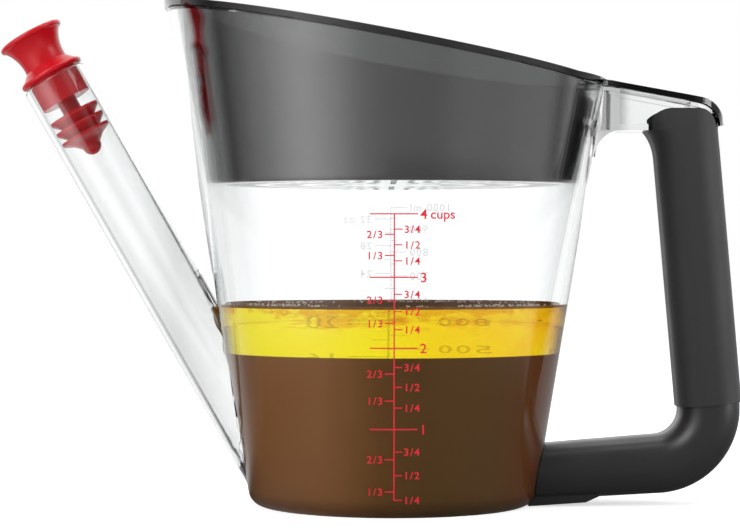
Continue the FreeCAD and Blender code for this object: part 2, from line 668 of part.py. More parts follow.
def make_strainer():
    """The lid that drops into the jug."""
    body = new_body("strainer")
    z_axis = (origin_feature(body, "Z_Axis"), [""])
    rim_start = "(basket_floor_height + basket_floor)"

    rim = [
        ("0", rim_start, None),
        (jug_radius(rim_start, "-rim_overhang"), rim_start, None),
        (jug_radius("trim_top", "-rim_overhang"), "trim_top", None),
        ("0", "trim_top", None),
    ]
    turned(body, "Revolution", "RimBlank", outline_sketch(body, "RimBlankOutline", "XZ_Plane", rim), z_axis)

    half = "(tail_width / 2)"
    tail_centre = "(tail_reach - %s)" % half
    tail = [
        ("rim_end_reach", "-(%s + tail_flare)" % half, None),
        ("bridge_root_end - tail_flare + rim_overhang", "-(%s + tail_flare)" % half, ("tail_flare", -1)),
        ("bridge_root_end + rim_overhang", "-" + half, None),
        (tail_centre, "-" + half, (half, 1)),
        ("tail_reach", "0", (half, 1)),
        (tail_centre, half, None),
        ("bridge_root_end + rim_overhang", half, ("tail_flare", -1)),
        ("bridge_root_end - tail_flare + rim_overhang", half + " + tail_flare", None),
        ("rim_end_reach", half + " + tail_flare", None),
    ]
    tail_sketch = outline_sketch(body, "TailOutline", "XY_Plane", tail, rim_start)
    pad(body, "TailBlank", tail_sketch, "trim_top - %s" % rim_start)

    under_sketch = outline_sketch(body, "UndersideLine", "XZ_Plane", below_lid_line("lid_plate", "0"))
    cuts(body, pocket(body, "UndersideCut", under_sketch, "through", True))

    wall_inset = "jug_wall + basket_gap"
    floor_end, wall_end = jug_corner("basket_round", "basket_floor_height", wall_inset)
    basket = [
        ("0", "basket_floor_height", None),
        (*floor_end, ("basket_round", 1)),
        (*wall_end, None),
        (jug_radius("trim_top", wall_inset), "trim_top", None),
        ("0", "trim_top", None),
    ]
    basket_sketch = outline_sketch(body, "BasketOutline", "XZ_Plane", basket)
    turned(body, "Revolution", "BasketBlank", basket_sketch, z_axis)

    top_sketch = outline_sketch(body, "TopLine", "XZ_Plane", above_lid_line("0"))
    cuts(body, pocket(body, "TopCut", top_sketch, "through", True))

    inner_inset = "jug_wall + basket_gap + basket_wall"
    inside = [
        ("0", rim_start, None),
        (jug_radius(rim_start, inner_inset), rim_start, None),
        (jug_radius("trim_top", inner_inset), "trim_top", None),
        ("0", "trim_top", None),
    ]
    inside_sketch = outline_sketch(body, "BasketInsideOutline", "XZ_Plane", inside)
    cuts(body, turned(body, "Groove", "BasketInside", inside_sketch, z_axis))

    for ring in ("outer", "middle", "inner"):
        name = ring.title()
        slot = box_outline(ring + "_ring_inner", ring + "_ring_outer", "-slot_width / 2", "slot_width / 2")
        slot_sketch = outline_sketch(body, name + "SlotOutline", "XY_Plane", slot, "basket_floor_height")
        cut = pocket(body, name + "Slot", slot_sketch, "basket_floor", False, True)
        cuts(body, cut)
        cuts(body, ring_pattern(body, name + "Ring", cut, ring + "_ring_count"))
    return body


# ---------------------------------------------------------------------------
# Stopper: turned upright about its own axis, then laid along the spout
# ---------------------------------------------------------------------------

def make_stopper():
    """The silicone stopper."""
    body = new_body("spout_stopper")
    z_axis = (origin_feature(body, "Z_Axis"), [""])
    bore = spout_radius("0", "spout_wall")
    plug = "(%s - plug_gap)" % spout_radius("plug_length", "spout_wall")
    flange_top = "(flange_seat_gap + flange_thickness)"
    profile = [
        ("0", "-tip_depth", ("tip_radius", 1)),
        ("tip_radius", "-tip_depth + tip_radius", None),
    ]
    last = "(first_fin + 2 * fin_pitch)"
    profile.append(("fin_core", "-(%s + fin_thickness / 2 + fin_root)" % last, None))
    for fin in (2, 1, 0):
        depth = "(first_fin + %d * fin_pitch)" % fin
        edge = "(%s - fin_gap)" % spout_radius(depth, "spout_wall")
        profile.append((edge, "-(%s + fin_thickness / 2)" % depth, None))
        profile.append((edge, "-(%s - fin_thickness / 2)" % depth, None))
        profile.append(("fin_core" if fin else "neck_radius", "-(%s - fin_thickness / 2)" % depth, None))
    profile += [
        ("neck_radius", "-plug_length", None),
        (plug, "-plug_length", None),
        (bore + " - plug_gap", "flange_seat_gap", None),
        ("flange_radius - flange_thickness / 2", "flange_seat_gap", ("flange_thickness / 2", 1)),
        ("flange_radius", "flange_seat_gap + flange_thickness / 2", ("flange_thickness / 2", 1)),
        ("flange_radius - flange_thickness / 2", flange_top, None),
        ("waist_radius", "waist_height", ("knob_height * 0.9", -1)),
        ("knob_radius - knob_edge / 2", "knob_height", ("knob_edge / 2", 1)),
        ("knob_radius", "knob_height + knob_edge / 2", ("knob_edge / 2", 1)),
        ("knob_radius - knob_edge / 2", "knob_height + knob_edge", None),
        ("waist_radius", "knob_height + knob_edge - knob_dish", None),
        ("0", "knob_height + knob_edge - knob_dish", None),
    ]
    turned(body, "Revolution", "Turned", outline_sketch(body, "StopperOutline", "XZ_Plane", profile), z_axis)
    place = ("create(<<placement>>; create(<<vector>>; -spout_mouth_reach; 0; spout_mouth_height);"
             " create(<<rotation>>; create(<<vector>>; 0; 1; 0); -spout_lean))")
    body.setExpression("Placement", tied(place))
    return body


# ---------------------------------------------------------------------------
# Handle frame: elbow, foot pad, saddle and spine in one rigid moulding
# ---------------------------------------------------------------------------

def elbow_point(name):
    """X and Z of the elbow's centre line: its bend's centre, its bend's end, or its far end."""
    centre_x = "(seam_reach - bend_radius * cos(handle_lean))"
    centre_z = "(seam_height - bend_radius * sin(handle_lean))"
    bend_x = "(%s + bend_radius * sin(lower_arm_rise))" % centre_x
    bend_z = "(%s - bend_radius * cos(lower_arm_rise))" % centre_z
    end_x = "(base_radius - base_round)"
    end_z = "(%s - (%s - %s) * tan(lower_arm_rise))" % (bend_z, bend_x, end_x)
    return {"centre": (centre_x, centre_z), "bend": (bend_x, bend_z), "end": (end_x, end_z)}[name]


def make_handle_frame():
    """The rigid part of the handle."""
    body = new_body("handle_frame")
    z_axis = (origin_feature(body, "Z_Axis"), [""])
    path = [
        ("seam_reach", "seam_height", ("bend_radius", -1)),
        (elbow_point("bend")[0], elbow_point("bend")[1], None),
        (elbow_point("end")[0], elbow_point("end")[1], None),
    ]
    path_sketch = outline_sketch(body, "ElbowPath", "XZ_Plane", path, is_open=True)
    first = outline_sketch(body, "SeamSection", "XY_Plane",
                           oval("0", "elbow_half_depth", "elbow_half_width", "oval_round"),
                           "seam_height", "seam_reach", "-handle_lean")
    end_x, end_z = elbow_point("end")
    arm = oval("0", "arm_half_depth", "arm_half_width", "oval_round")
    arm_on_end = [(across, "%s - (%s)" % (end_z, inwards), arc) for inwards, across, arc in arm]
    last = outline_sketch(body, "ArmSection", "YZ_Plane", arm_on_end, end_x)
    pipe = body.newObject("PartDesign::AdditivePipe", "Elbow")
    pipe.Profile = first
    pipe.Spine = (path_sketch, ["Edge1", "Edge2"])
    pipe.Transformation = "Multisection"
    pipe.Sections = [last]

    foot_pad = [
        ("pad_inner_reach", "0", None),
        ("pad_outer_reach", "pad_step_height", None),
        ("pad_ramp_reach", elbow_underside("pad_ramp_reach"), None),
        ("pad_ramp_reach", "pad_top", None),
        ("pad_inner_reach", "pad_top", None),
    ]
    pad(body, "FootPad", outline_sketch(body, "FootPadOutline", "XZ_Plane", foot_pad), "pad_width", True)

    floor_end, wall_end = jug_corner("base_round", "0", "0")
    jug = [
        ("0", "-foot_recess", None),
        (floor_end[0], "-foot_recess", None),
        (floor_end[0], "-socket_gap", ("base_round + socket_gap", 1)),
        (wall_end[0] + " + socket_gap * cos(wall_draft)",
         wall_end[1] + " - socket_gap * sin(wall_draft)", None),
        (jug_radius("seam_height", "-socket_gap / cos(wall_draft)"), "seam_height", None),
        ("0", "seam_height", None),
    ]
    saddle_sketch = outline_sketch(body, "SaddleOutline", "XZ_Plane", jug)
    cuts(body, turned(body, "Groove", "Saddle", saddle_sketch, z_axis))

    lug = box_outline("base_radius", "lug_reach + socket_gap",
                      "lug_bottom - socket_gap", "lug_bottom + lug_height + socket_gap")
    lug_sketch = outline_sketch(body, "LugSocketOutline", "XZ_Plane", lug)
    cuts(body, pocket(body, "LugSocket", lug_sketch, "lug_width + 2 * socket_gap", True))

    spine_sketch = across_grip(body, "SpineOutline", "-spine_round", spine_outline("0"))
    pad(body, "Spine", spine_sketch, "spine_length + spine_round")

    seat_height = "(bridge_underside - socket_gap)"
    seat = box_outline("rim_end_reach", "bridge_end + socket_gap",
                       "-bridge_width / 2 - socket_gap", "bridge_width / 2 + socket_gap")
    seat_sketch = outline_sketch(body, "BridgeSeatOutline", "XY_Plane", seat, seat_height)
    cuts(body, pocket(body, "BridgeSeat", seat_sketch, "bridge_drop", False, True))

    socket = box_outline("tongue_reach - tongue_thickness / 2 - socket_gap",
                         "tongue_reach + tongue_thickness / 2 + socket_gap",
                         "-tongue_width / 2 - socket_gap", "tongue_width / 2 + socket_gap")
    socket_sketch = outline_sketch(body, "TongueSocketOutline", "XY_Plane", socket, seat_height)
    cuts(body, pocket(body, "TongueSocket", socket_sketch, "tongue_length"))
    return body


def elbow_underside(reach):
    """Z of the lower arm's underside at a distance from the jug's axis."""
    end_x, end_z = elbow_point("end")
    rise = "((%s) - %s) * tan(lower_arm_rise)" % (reach, end_x)
    return "(%s + %s - arm_half_depth)" % (end_z, rise)


def across_grip(body, name, distance, outline):
    """Sketch on the plane across the grip's axis, at a distance up it from the seam."""
    height = "seam_height + (%s) * cos(handle_lean)" % distance
    reach = "seam_reach - (%s) * sin(handle_lean)" % distance
    return outline_sketch(body, name, "XY_Plane", outline, height, reach, "-handle_lean")


def spine_outline(growth):
    """Outline of the spine, grown all round by a clearance."""
    half_depth, half_width, corner = [
        "spine_" + size + " + " + growth for size in ("half_depth", "half_width", "round")
    ]
    return oval("0", half_depth, half_width, corner)


# ---------------------------------------------------------------------------
# Grip: soft sleeve moulded over the spine, with a collar round the bridge
# ---------------------------------------------------------------------------

def collar_section(body, name, height, swell):
    """Level section of the grip's collar at a height, swollen towards the jug."""
    centre = "%s - (%s) / 2" % (grip_axis(height), swell)
    outline = oval(centre, "grip_half_depth + (%s) / 2" % swell, "grip_half_width", "oval_round")
    return outline_sketch(body, name, "XY_Plane", outline, height)


def make_grip():
    """The soft sleeve."""
    body = new_body("grip_sleeve")
    stem = oval("0", "grip_half_depth", "grip_half_width", "oval_round")
    length = "((grip_shoulder - seam_height) / cos(handle_lean))"
    pad(body, "GripStem", across_grip(body, "GripFoot", "0", stem), length)

    collar = [
        across_grip(body, "CollarFoot", length, stem),
        collar_section(body, "CollarWaist", "collar_height - collar_length / 2", "collar_swell / 4"),
        collar_section(body, "CollarTip", "collar_height", "collar_swell"),
    ]
    loft(body, "Collar", collar)
    head = collar_section(body, "HeadFoot", "collar_height", "collar_swell")
    pad(body, "Head", head, "grip_top + oval_round - collar_height")

    shoulder_x = "tip_x + sqrt(notch_radius ^ 2 - (grip_top - tip_z) ^ 2)"
    notch_x, notch_z = tip_point("notch_radius", "tail_tip_turn")
    notch_floor = notch_z + " - grip_fit"
    above = [
        ("collar_tip_reach", "collar_height", ("collar_round", -1)),
        ("collar_tip_reach + collar_round", "grip_top", None),
        (shoulder_x, "grip_top", ("notch_radius", -1)),
        (notch_x, notch_z, None),
        (notch_x, notch_floor, None),
        ("trim_reach", notch_floor, None),
        ("trim_reach", "trim_top", None),
        ("rim_end_reach", "trim_top", None),
        ("rim_end_reach", "collar_height", None),
    ]
    above_sketch = outline_sketch(body, "GripTopLine", "XZ_Plane", above)
    cuts(body, pocket(body, "GripTop", above_sketch, "through", True))

    cavity = across_grip(body, "SpineCavityOutline", "0", spine_outline("grip_fit"))
    cuts(body, pocket(body, "SpineCavity", cavity, "spine_length + grip_fit", False, True))

    bridge = box_outline("rim_end_reach", "bridge_end + grip_fit",
                         "-bridge_width / 2 - grip_fit", "bridge_width / 2 + grip_fit")
    bridge_floor = "bridge_underside - grip_fit"
    bridge_sketch = outline_sketch(body, "BridgeCavityOutline", "XY_Plane", bridge, bridge_floor)
    cuts(body, pocket(body, "BridgeCavity", bridge_sketch, "trim_top", False, True))
    return body


# ---------------------------------------------------------------------------
# Build, check and write
# ---------------------------------------------------------------------------

def main():
    """Build every piece, check it and write it to its own file."""
    bodies = [make_pitcher(), make_strainer(), make_stopper(), make_handle_frame(), make_grip()]
    doc.recompute()
    for item in doc.Objects:
        if "Invalid" in item.State or "Error" in item.State:
            raise ValueError(item.Name + " failed: " + str(item.State))
    os.makedirs("parts", exist_ok=True)
    for body in bodies:
        shape = body.Shape
        if shape.isNull() or not shape.isValid() or not shape.Solids:
            raise ValueError(body.Label + " has no valid solid")
        shape.exportStep("parts/" + body.Label + ".step")
        print(body.Label, "solids", len(shape.Solids), "volume", round(shape.Volume, 1))


main()
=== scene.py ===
import logging
import math
from dataclasses import dataclass
from enum import Enum

import bmesh
import bpy
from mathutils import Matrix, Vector


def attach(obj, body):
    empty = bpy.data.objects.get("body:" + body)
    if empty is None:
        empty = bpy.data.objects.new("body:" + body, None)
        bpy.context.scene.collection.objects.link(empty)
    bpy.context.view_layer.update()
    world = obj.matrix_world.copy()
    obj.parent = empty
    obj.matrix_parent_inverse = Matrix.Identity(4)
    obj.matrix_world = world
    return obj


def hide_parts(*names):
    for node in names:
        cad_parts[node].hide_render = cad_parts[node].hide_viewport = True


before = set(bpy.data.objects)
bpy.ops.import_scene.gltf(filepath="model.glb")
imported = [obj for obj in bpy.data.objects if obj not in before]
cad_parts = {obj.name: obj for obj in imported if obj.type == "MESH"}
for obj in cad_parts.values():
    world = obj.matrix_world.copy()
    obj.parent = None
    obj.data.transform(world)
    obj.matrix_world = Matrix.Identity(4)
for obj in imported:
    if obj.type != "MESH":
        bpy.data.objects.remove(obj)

logging.basicConfig(level=logging.INFO, format="%(message)s")
log = logging.getLogger("fat_separator")
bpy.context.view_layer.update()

Node = bpy.types.Node
Socket = bpy.types.NodeSocket
Tree = bpy.types.NodeTree
Piece = bpy.types.Object
Colour = tuple[float, float, float, float]
Point = tuple[float, float, float]
Tones = tuple[tuple[float, str], ...]
Levels = tuple[tuple[float, float], ...]

JOIN = 0.002    # millimetres: corners of a CAD mesh that are nearer than this are one
WELD = 0.001    # millimetres: the same for printed lines and letters
CAD_SHARP, TURNED_SHARP = 28.0, 40.0    # degrees between two faces above which their edge stays sharp
TURN_STEPS = 160    # corners round a turned piece


class Body(Enum):
    """The bodies that pieces ride on."""

    JUG = "jug"
    LID = "lid"
    STOPPER = "stopper"


class Side(Enum):
    """Which side of the jug a scale is printed on, as the sign of its Y."""

    FRONT = -1
    BACK = 1


def mm(length: float) -> float:
    """Millimetres as metres."""
    return length * 0.001


def linear(colour: str) -> Colour:
    """Turn an sRGB colour into the linear values that shaders take.

    Args:
        colour: six hex digits, as RRGGBB.

    Returns:
        Red, green, blue and an alpha of 1.
    """
    channels = [int(colour[i:i + 2], 16) / 255 for i in (0, 2, 4)]
    curve = [c / 12.92 if c <= 0.04045 else ((c + 0.055) / 1.055) ** 2.4 for c in channels]
    return (curve[0], curve[1], curve[2], 1.0)


def add(tree: Tree, kind: str, settings: dict | None = None) -> Node:
    """Add a node to a tree.

    Args:
        tree: the node tree.
        kind: the node's type name.
        settings: what its attributes and inputs hold, by name or index. An input holds a plain value, or is
            linked to an output socket, or to a node's first output.

    Returns:
        The new node.
    """
    node = tree.nodes.new(kind)
    for name, value in (settings or {}).items():
        if isinstance(value, Node):
            value = value.outputs[0]
        if isinstance(value, Socket):
            tree.links.new(value, node.inputs[name])
        elif isinstance(name, str) and hasattr(node, name):
            setattr(node, name, value)
        else:
            node.inputs[name].default_value = value
    return node


def emptied(owner: bpy.types.Material | bpy.types.World) -> Tree:
    """Give a material or a world an empty node tree.

    Args:
        owner: the material or the world.

    Returns:
        The tree.
    """
    owner.use_nodes = True
    owner.node_tree.nodes.clear()
    return owner.node_tree


def ramp(tree: Tree, where: Node | Socket, stops: list[tuple[float, Colour]]) -> Node:
    """Colour that follows a number.

    Args:
        tree: the tree to add to.
        where: the number.
        stops: numbers and the colour at each, from the lowest up.

    Returns:
        The colour.
    """
    low, high = stops[0][0], stops[-1][0]
    share = add(tree, "ShaderNodeMapRange", {"Value": where, "From Min": low, "From Max": high})
    colours = add(tree, "ShaderNodeValToRGB", {"Fac": share})
    points = colours.color_ramp.elements
    while len(points) < len(stops):
        points.new(0.5)
    for point, (place, colour) in zip(points, stops):
        point.position = (place - low) / (high - low)
        point.color = colour
    return colours


def blended(tree: Tree, where: Node | Socket, tones: Tones) -> Node:
    """Colour that follows a length in metres, from sRGB tones at lengths in millimetres."""
    return ramp(tree, where, [(mm(length), linear(colour)) for length, colour in tones])


# Finishes

@dataclass(frozen=True)
class Finish:
    """What every finish shares. Its patterns are fixed to the piece, and their sizes are in millimetres."""

    name: str

    def surface(self, tree: Tree) -> Node:
        """The surface's shader, which each finish gives for itself."""
        raise NotImplementedError(self.name)

    def inside(self, tree: Tree) -> Node | None:
        """The shader of what fills the piece: nothing, unless a finish says otherwise."""
        return None

    def make(self) -> bpy.types.Material:
        """Build the material.

        Returns:
            The material, under the finish's name.
        """
        material = bpy.data.materials.new(self.name)
        tree = emptied(material)
        output = add(tree, "ShaderNodeOutputMaterial", {"Surface": self.surface(tree)})
        filling = self.inside(tree)
        if filling is not None:
            tree.links.new(filling.outputs[0], output.inputs["Volume"])
        return material

    @staticmethod
    def clouds(tree: Tree, size: float, detail: float) -> Node:
        """Cloudy pattern, by the distance from one cloud to the next and the finer pattern on them."""
        place = add(tree, "ShaderNodeTexCoord").outputs["Object"]
        return add(tree, "ShaderNodeTexNoise", {"Vector": place, "Scale": 1.0 / mm(size), "Detail": detail})

    def waves(self, tree: Tree, size: float, height: float, detail: float = 2.0) -> Node:
        """Bumped normal of a shallow unevenness, by the size and the height of its humps."""
        humps = self.clouds(tree, size, detail)
        return add(tree, "ShaderNodeBump", {"Strength": 1.0, "Distance": mm(height), "Height": humps})

    def drifting(self, tree: Tree, size: float, drift: float, tones: Tones) -> Node:
        """Colour that changes along X, as painted light and shade, and drifts to and fro in slow clouds.

        Args:
            tree: the material's tree.
            size: distance from one cloud to the next.
            drift: the whole width of the drift.
            tones: a length along X and its sRGB colour, from the smallest length up.

        Returns:
            The colour.
        """
        place = add(tree, "ShaderNodeTexCoord").outputs["Object"]
        axes = add(tree, "ShaderNodeSeparateXYZ", {0: place}).outputs
        push = add(tree, "ShaderNodeMath", {
            "operation": "MULTIPLY_ADD", 0: self.clouds(tree, size, 4.0), 1: mm(drift), 2: -mm(drift) / 2})
        return blended(tree, add(tree, "ShaderNodeMath", {"operation": "ADD", 0: axes["X"], 1: push}), tones)

    @staticmethod
    def lit_through(tree: Tree, glass: Node) -> Node:
        """Let lamps and soft light straight through a clear surface, so what stands behind it is lit.

        Args:
            tree: the material's tree.
            glass: the shader of the clear surface.

        Returns:
            The mixed shader.
        """
        straight = add(tree, "ShaderNodeBsdfTransparent", {"Color": linear("FFFFFF")})
        path = add(tree, "ShaderNodeLightPath").outputs
        soft = add(tree, "ShaderNodeMath", {
            "operation": "MAXIMUM", 0: path["Is Shadow Ray"], 1: path["Is Diffuse Ray"]})
        return add(tree, "ShaderNodeMixShader", {0: soft, 1: glass, 2: straight})


@dataclass(frozen=True)
class ClearPlastic(Finish):
    """Styrene acrylonitrile, injection moulded and polished: clear with slow waves, grey where it is thick.

    Its colour has painted shade: greyer over the spout and the jug's left edge, and much greyer at the thick
    root of its bridge, standing in for the grey that bent light gives there.
    """

    # painted shade: the clear colour turns grey along X over the spout, the left edge round the lid and the
    # root of the bridge
    tints: Tones = ((-130, "F2F3F3"), (-86, "F1F2F2"), (-74, "E9EAEA"), (-60, "F1F2F2"), (-46, "FBFCFC"),
                    (67, "FBFCFC"), (71.5, "CACBCB"), (77, "CACBCB"), (81, "F1F2F2"), (100, "F5F6F6"))
    roughness: float = 0.012
    ior: float = 1.57
    wave_size: float = 26.0
    wave_height: float = 0.012
    smoke: float = 36.0
    smoke_tint: str = "C0C2C2"

    def surface(self, tree: Tree) -> Node:
        """Polished clear face that lamps pass through.

        Args:
            tree: the material's tree.

        Returns:
            Its shader.
        """
        place = add(tree, "ShaderNodeTexCoord").outputs["Object"]
        axes = add(tree, "ShaderNodeSeparateXYZ", {0: place}).outputs
        glass = add(tree, "ShaderNodeBsdfPrincipled", {
            "Base Color": blended(tree, axes["X"], self.tints), "Roughness": self.roughness, "IOR": self.ior,
            "Transmission Weight": 1.0, "Normal": self.waves(tree, self.wave_size, self.wave_height, 0.0)})
        return self.lit_through(tree, glass)

    def inside(self, tree: Tree) -> Node:
        """Grey that grows with the plastic's thickness."""
        settings = {"Color": linear(self.smoke_tint), "Density": self.smoke}
        return add(tree, "ShaderNodeVolumeAbsorption", settings)


@dataclass(frozen=True)
class SiliconeRubber(Finish):
    """Silicone rubber, moulded in a fine satin cavity: deep red with a broad soft sheen."""

    colour: str = "C40A18"
    pale: str = "CE1521"
    cloud_size: float = 9.0
    roughness: float = 0.24
    grain: float = 0.5
    grain_height: float = 0.006
    glow: float = 0.12
    glow_depth: Point = (0.004, 0.001, 0.0008)

    def surface(self, tree: Tree) -> Node:
        """Faintly clouded red that light soaks into a little.

        Args:
            tree: the material's tree.

        Returns:
            Its shader.
        """
        tone = add(tree, "ShaderNodeMixRGB", {
            "Fac": self.clouds(tree, self.cloud_size, 3.0), "Color1": linear(self.colour),
            "Color2": linear(self.pale)})
        return add(tree, "ShaderNodeBsdfPrincipled", {
            "Base Color": tone, "Roughness": self.roughness, "IOR": 1.41, "Specular IOR Level": 0.5,
            "Subsurface Weight": self.glow, "Subsurface Radius": self.glow_depth, "Subsurface Scale": 1.0,
            "Normal": self.waves(tree, self.grain, self.grain_height)})


@dataclass(frozen=True)
class DarkMoulding(Finish):
    """A black moulding whose fine spark-eroded grain scatters its highlights."""

    colour: str = "2A2A2B"
    roughness: float = 0.5
    unevenness: float = 0.04
    cloud_size: float = 14.0
    grain: float = 0.45
    grain_height: float = 0.012
    sheen: float = 0.0
    ior: float = 1.5

    def surface(self, tree: Tree) -> Node:
        """Grained black that is glossier in some places than in others.

        Args:
            tree: the material's tree.

        Returns:
            Its shader.
        """
        rough = add(tree, "ShaderNodeMapRange", {
            "Value": self.clouds(tree, self.cloud_size, 4.0), "From Min": 0.3, "From Max": 0.7,
            "To Min": self.roughness - self.unevenness, "To Max": self.roughness + self.unevenness})
        return add(tree, "ShaderNodeBsdfPrincipled", {
            "Base Color": linear(self.colour), "Roughness": rough, "IOR": self.ior,
            "Sheen Weight": self.sheen, "Normal": self.waves(tree, self.grain, self.grain_height)})


@dataclass(frozen=True)
class PrintedInk(Finish):
    """Screen-printed ink: a thin opaque film with a faint mottle from the mesh."""

    colour: str = "E2122E"
    roughness: float = 0.55
    mottle: float = 0.08
    mottle_size: float = 0.8

    def surface(self, tree: Tree) -> Node:
        """Flat colour with a mottled gloss.

        Args:
            tree: the material's tree.

        Returns:
            Its shader.
        """
        rough = add(tree, "ShaderNodeMapRange", {
            "Value": self.clouds(tree, self.mottle_size, 2.0), "To Min": self.roughness - self.mottle,
            "To Max": self.roughness + self.mottle})
        return add(tree, "ShaderNodeBsdfPrincipled", {"Base Color": linear(self.colour), "Roughness": rough})


@dataclass(frozen=True)
class ThinInk(Finish):
    """Pale ink printed thin: daylight comes through it, so it stays faint from inside."""

    colour: str = "F2F3F4"
    bare: str = "F6F6F7"
    cover: float = 0.11
    mottle: float = 0.08
    mottle_size: float = 0.7
    translucence: float = 0.7

    def surface(self, tree: Tree) -> Node:
        """Film with gaps as fine as the printing mesh.

        Args:
            tree: the material's tree.

        Returns:
            Its shader.
        """
        cover = add(tree, "ShaderNodeMapRange", {
            "Value": self.clouds(tree, self.mottle_size, 1.0), "To Min": self.cover - self.mottle,
            "To Max": self.cover + self.mottle})
        face = add(tree, "ShaderNodeBsdfPrincipled", {"Base Color": linear(self.colour), "Roughness": 0.5})
        glow = add(tree, "ShaderNodeBsdfTranslucent", {"Color": linear(self.colour)})
        film = add(tree, "ShaderNodeMixShader", {0: self.translucence, 1: face, 2: glow})
        clear = add(tree, "ShaderNodeBsdfTransparent", {"Color": linear(self.bare)})
        return add(tree, "ShaderNodeMixShader", {0: cover, 1: clear, 2: film})


@dataclass(frozen=True)
class Gravy(Finish):
    """Meat gravy: cloudy brown with slow clouds in it, and painted light: lightest just right of its left
    edge, darker towards +X and darkest at its right edge.
    """

    # painted light and shade: the gravy's brown by its X, lighter at the left and darkest at the right
    tones: Tones = ((-54, "5E3B1A"), (-44, "7E532F"), (-22, "805531"), (-6, "664522"), (12, "553C1F"),
                    (34, "533A1F"), (46, "5A3317"), (54, "4A240C"))
    cloud_size: float = 34.0
    cloud_drift: float = 16.0

    def surface(self, tree: Tree) -> Node:
        """Clouded brown with next to no shine, as it is seen wet against the wall.

        Args:
            tree: the material's tree.

        Returns:
            Its shader.
        """
        tone = self.drifting(tree, self.cloud_size, self.cloud_drift, self.tones)
        return add(tree, "ShaderNodeBsdfPrincipled", {
            "Base Color": tone, "Roughness": 0.5, "IOR": 1.34, "Specular IOR Level": 0.05})


@dataclass(frozen=True)
class Speck(Finish):
    """What floats on the fat, browned or pale: a wet film that some light comes through."""

    colour: str
    dark: str
    see_through: float
    shine: float = 0.5
    cloud_size: float = 5.0

    def surface(self, tree: Tree) -> Node:
        """Clouded wet film.

        Args:
            tree: the material's tree.

        Returns:
            Its shader.
        """
        tone = add(tree, "ShaderNodeMixRGB", {
            "Fac": self.clouds(tree, self.cloud_size, 3.0), "Color1": linear(self.dark),
            "Color2": linear(self.colour)})
        wet = add(tree, "ShaderNodeBsdfPrincipled", {
            "Base Color": tone, "Roughness": 0.25, "IOR": 1.4, "Specular IOR Level": self.shine})
        clear = add(tree, "ShaderNodeBsdfTransparent", {"Color": tone})
        return add(tree, "ShaderNodeMixShader", {0: self.see_through, 1: wet, 2: clear})


@dataclass(frozen=True)
class MeltedFat(Finish):
    """Clear melted fat: bright yellow with painted light that turns it amber towards +X, with browned juices
    that hang under its surface.
    """

    colour: str = "FFFC00"
    density: float = 40.0
    ior: float = 1.47
    # painted light: the fat's tint by its X, near white at the left and amber towards the right, for light
    # bent at its edge
    tones: Tones = ((-60, "FFFBF2"), (-14, "FFFBF2"), (6, "FFEACA"), (22, "FFDAA6"), (36, "FFE8C4"),
                    (47, "FFC884"), (56, "F4B066"))
    cloud_size: float = 22.0
    cloud_drift: float = 60.0
    browned: str = "E4A058"
    browned_from: float = 60.0
    browned_full: float = 67.5
    browned_size: float = 5.0
    turbid: str = "FFC21E"
    turbid_share: float = 0.06

    def flakes(self, tree: Tree) -> Node:
        """Share of browned juice, in flat flakes that crowd towards the top.

        Args:
            tree: the material's tree.

        Returns:
            The share.
        """
        place = add(tree, "ShaderNodeTexCoord").outputs["Object"]
        axes = add(tree, "ShaderNodeSeparateXYZ", {0: place}).outputs
        flat = add(tree, "ShaderNodeVectorMath", {"operation": "MULTIPLY", 0: place, 1: (0.6, 0.6, 1.0)})
        flakes = add(tree, "ShaderNodeTexNoise", {
            "Vector": flat, "Scale": 1.0 / mm(self.browned_size), "Detail": 6.0, "Roughness": 0.68})
        height = add(tree, "ShaderNodeMapRange", {
            "Value": axes["Z"], "From Min": mm(self.browned_from), "From Max": mm(self.browned_full),
            "To Min": -0.3, "To Max": 0.1})
        hung = add(tree, "ShaderNodeMath", {"operation": "ADD", 0: flakes, 1: height})
        return add(tree, "ShaderNodeMapRange", {"Value": hung, "From Min": 0.5, "From Max": 0.6})

    def surface(self, tree: Tree) -> Node:
        """Slightly turbid clear yellow, browned towards its top.

        Args:
            tree: the material's tree.

        Returns:
            Its shader.
        """
        yellow = self.drifting(tree, self.cloud_size, self.cloud_drift, self.tones)
        tone = add(tree, "ShaderNodeMixRGB", {
            "Fac": self.flakes(tree), "Color1": yellow, "Color2": linear(self.browned)})
        clear = add(tree, "ShaderNodeBsdfPrincipled", {
            "Base Color": tone, "Roughness": 0.0, "IOR": self.ior, "Transmission Weight": 1.0})
        turbid = add(tree, "ShaderNodeBsdfDiffuse", {"Color": linear(self.turbid)})
        melted = add(tree, "ShaderNodeMixShader", {0: self.turbid_share, 1: clear, 2: turbid})
        return self.lit_through(tree, melted)

    def inside(self, tree: Tree) -> Node:
        """Yellow that deepens with the fat's depth."""
        settings = {"Color": linear(self.colour), "Density": self.density}
        return add(tree, "ShaderNodeVolumeAbsorption", settings)


# Mesh helpers

def link(name: str, mesh: bpy.types.Mesh, material: bpy.types.Material) -> Piece:
    """Put a mesh into the scene.

    Args:
        name: the piece's name.
        mesh: its mesh.
        material: its only material.

    Returns:
        The piece, at the origin.
    """
    piece = bpy.data.objects.new(name, mesh)
    bpy.context.scene.collection.objects.link(piece)
    mesh.materials.clear()
    mesh.materials.append(material)
    return piece


def smooth(mesh: bpy.types.Mesh, sharp: float) -> None:
    """Smooth a mesh's curved faces, up to an angle in degrees, past which an edge stays sharp."""
    mesh.shade_smooth()
    mesh.set_sharp_from_angle(angle=math.radians(sharp))


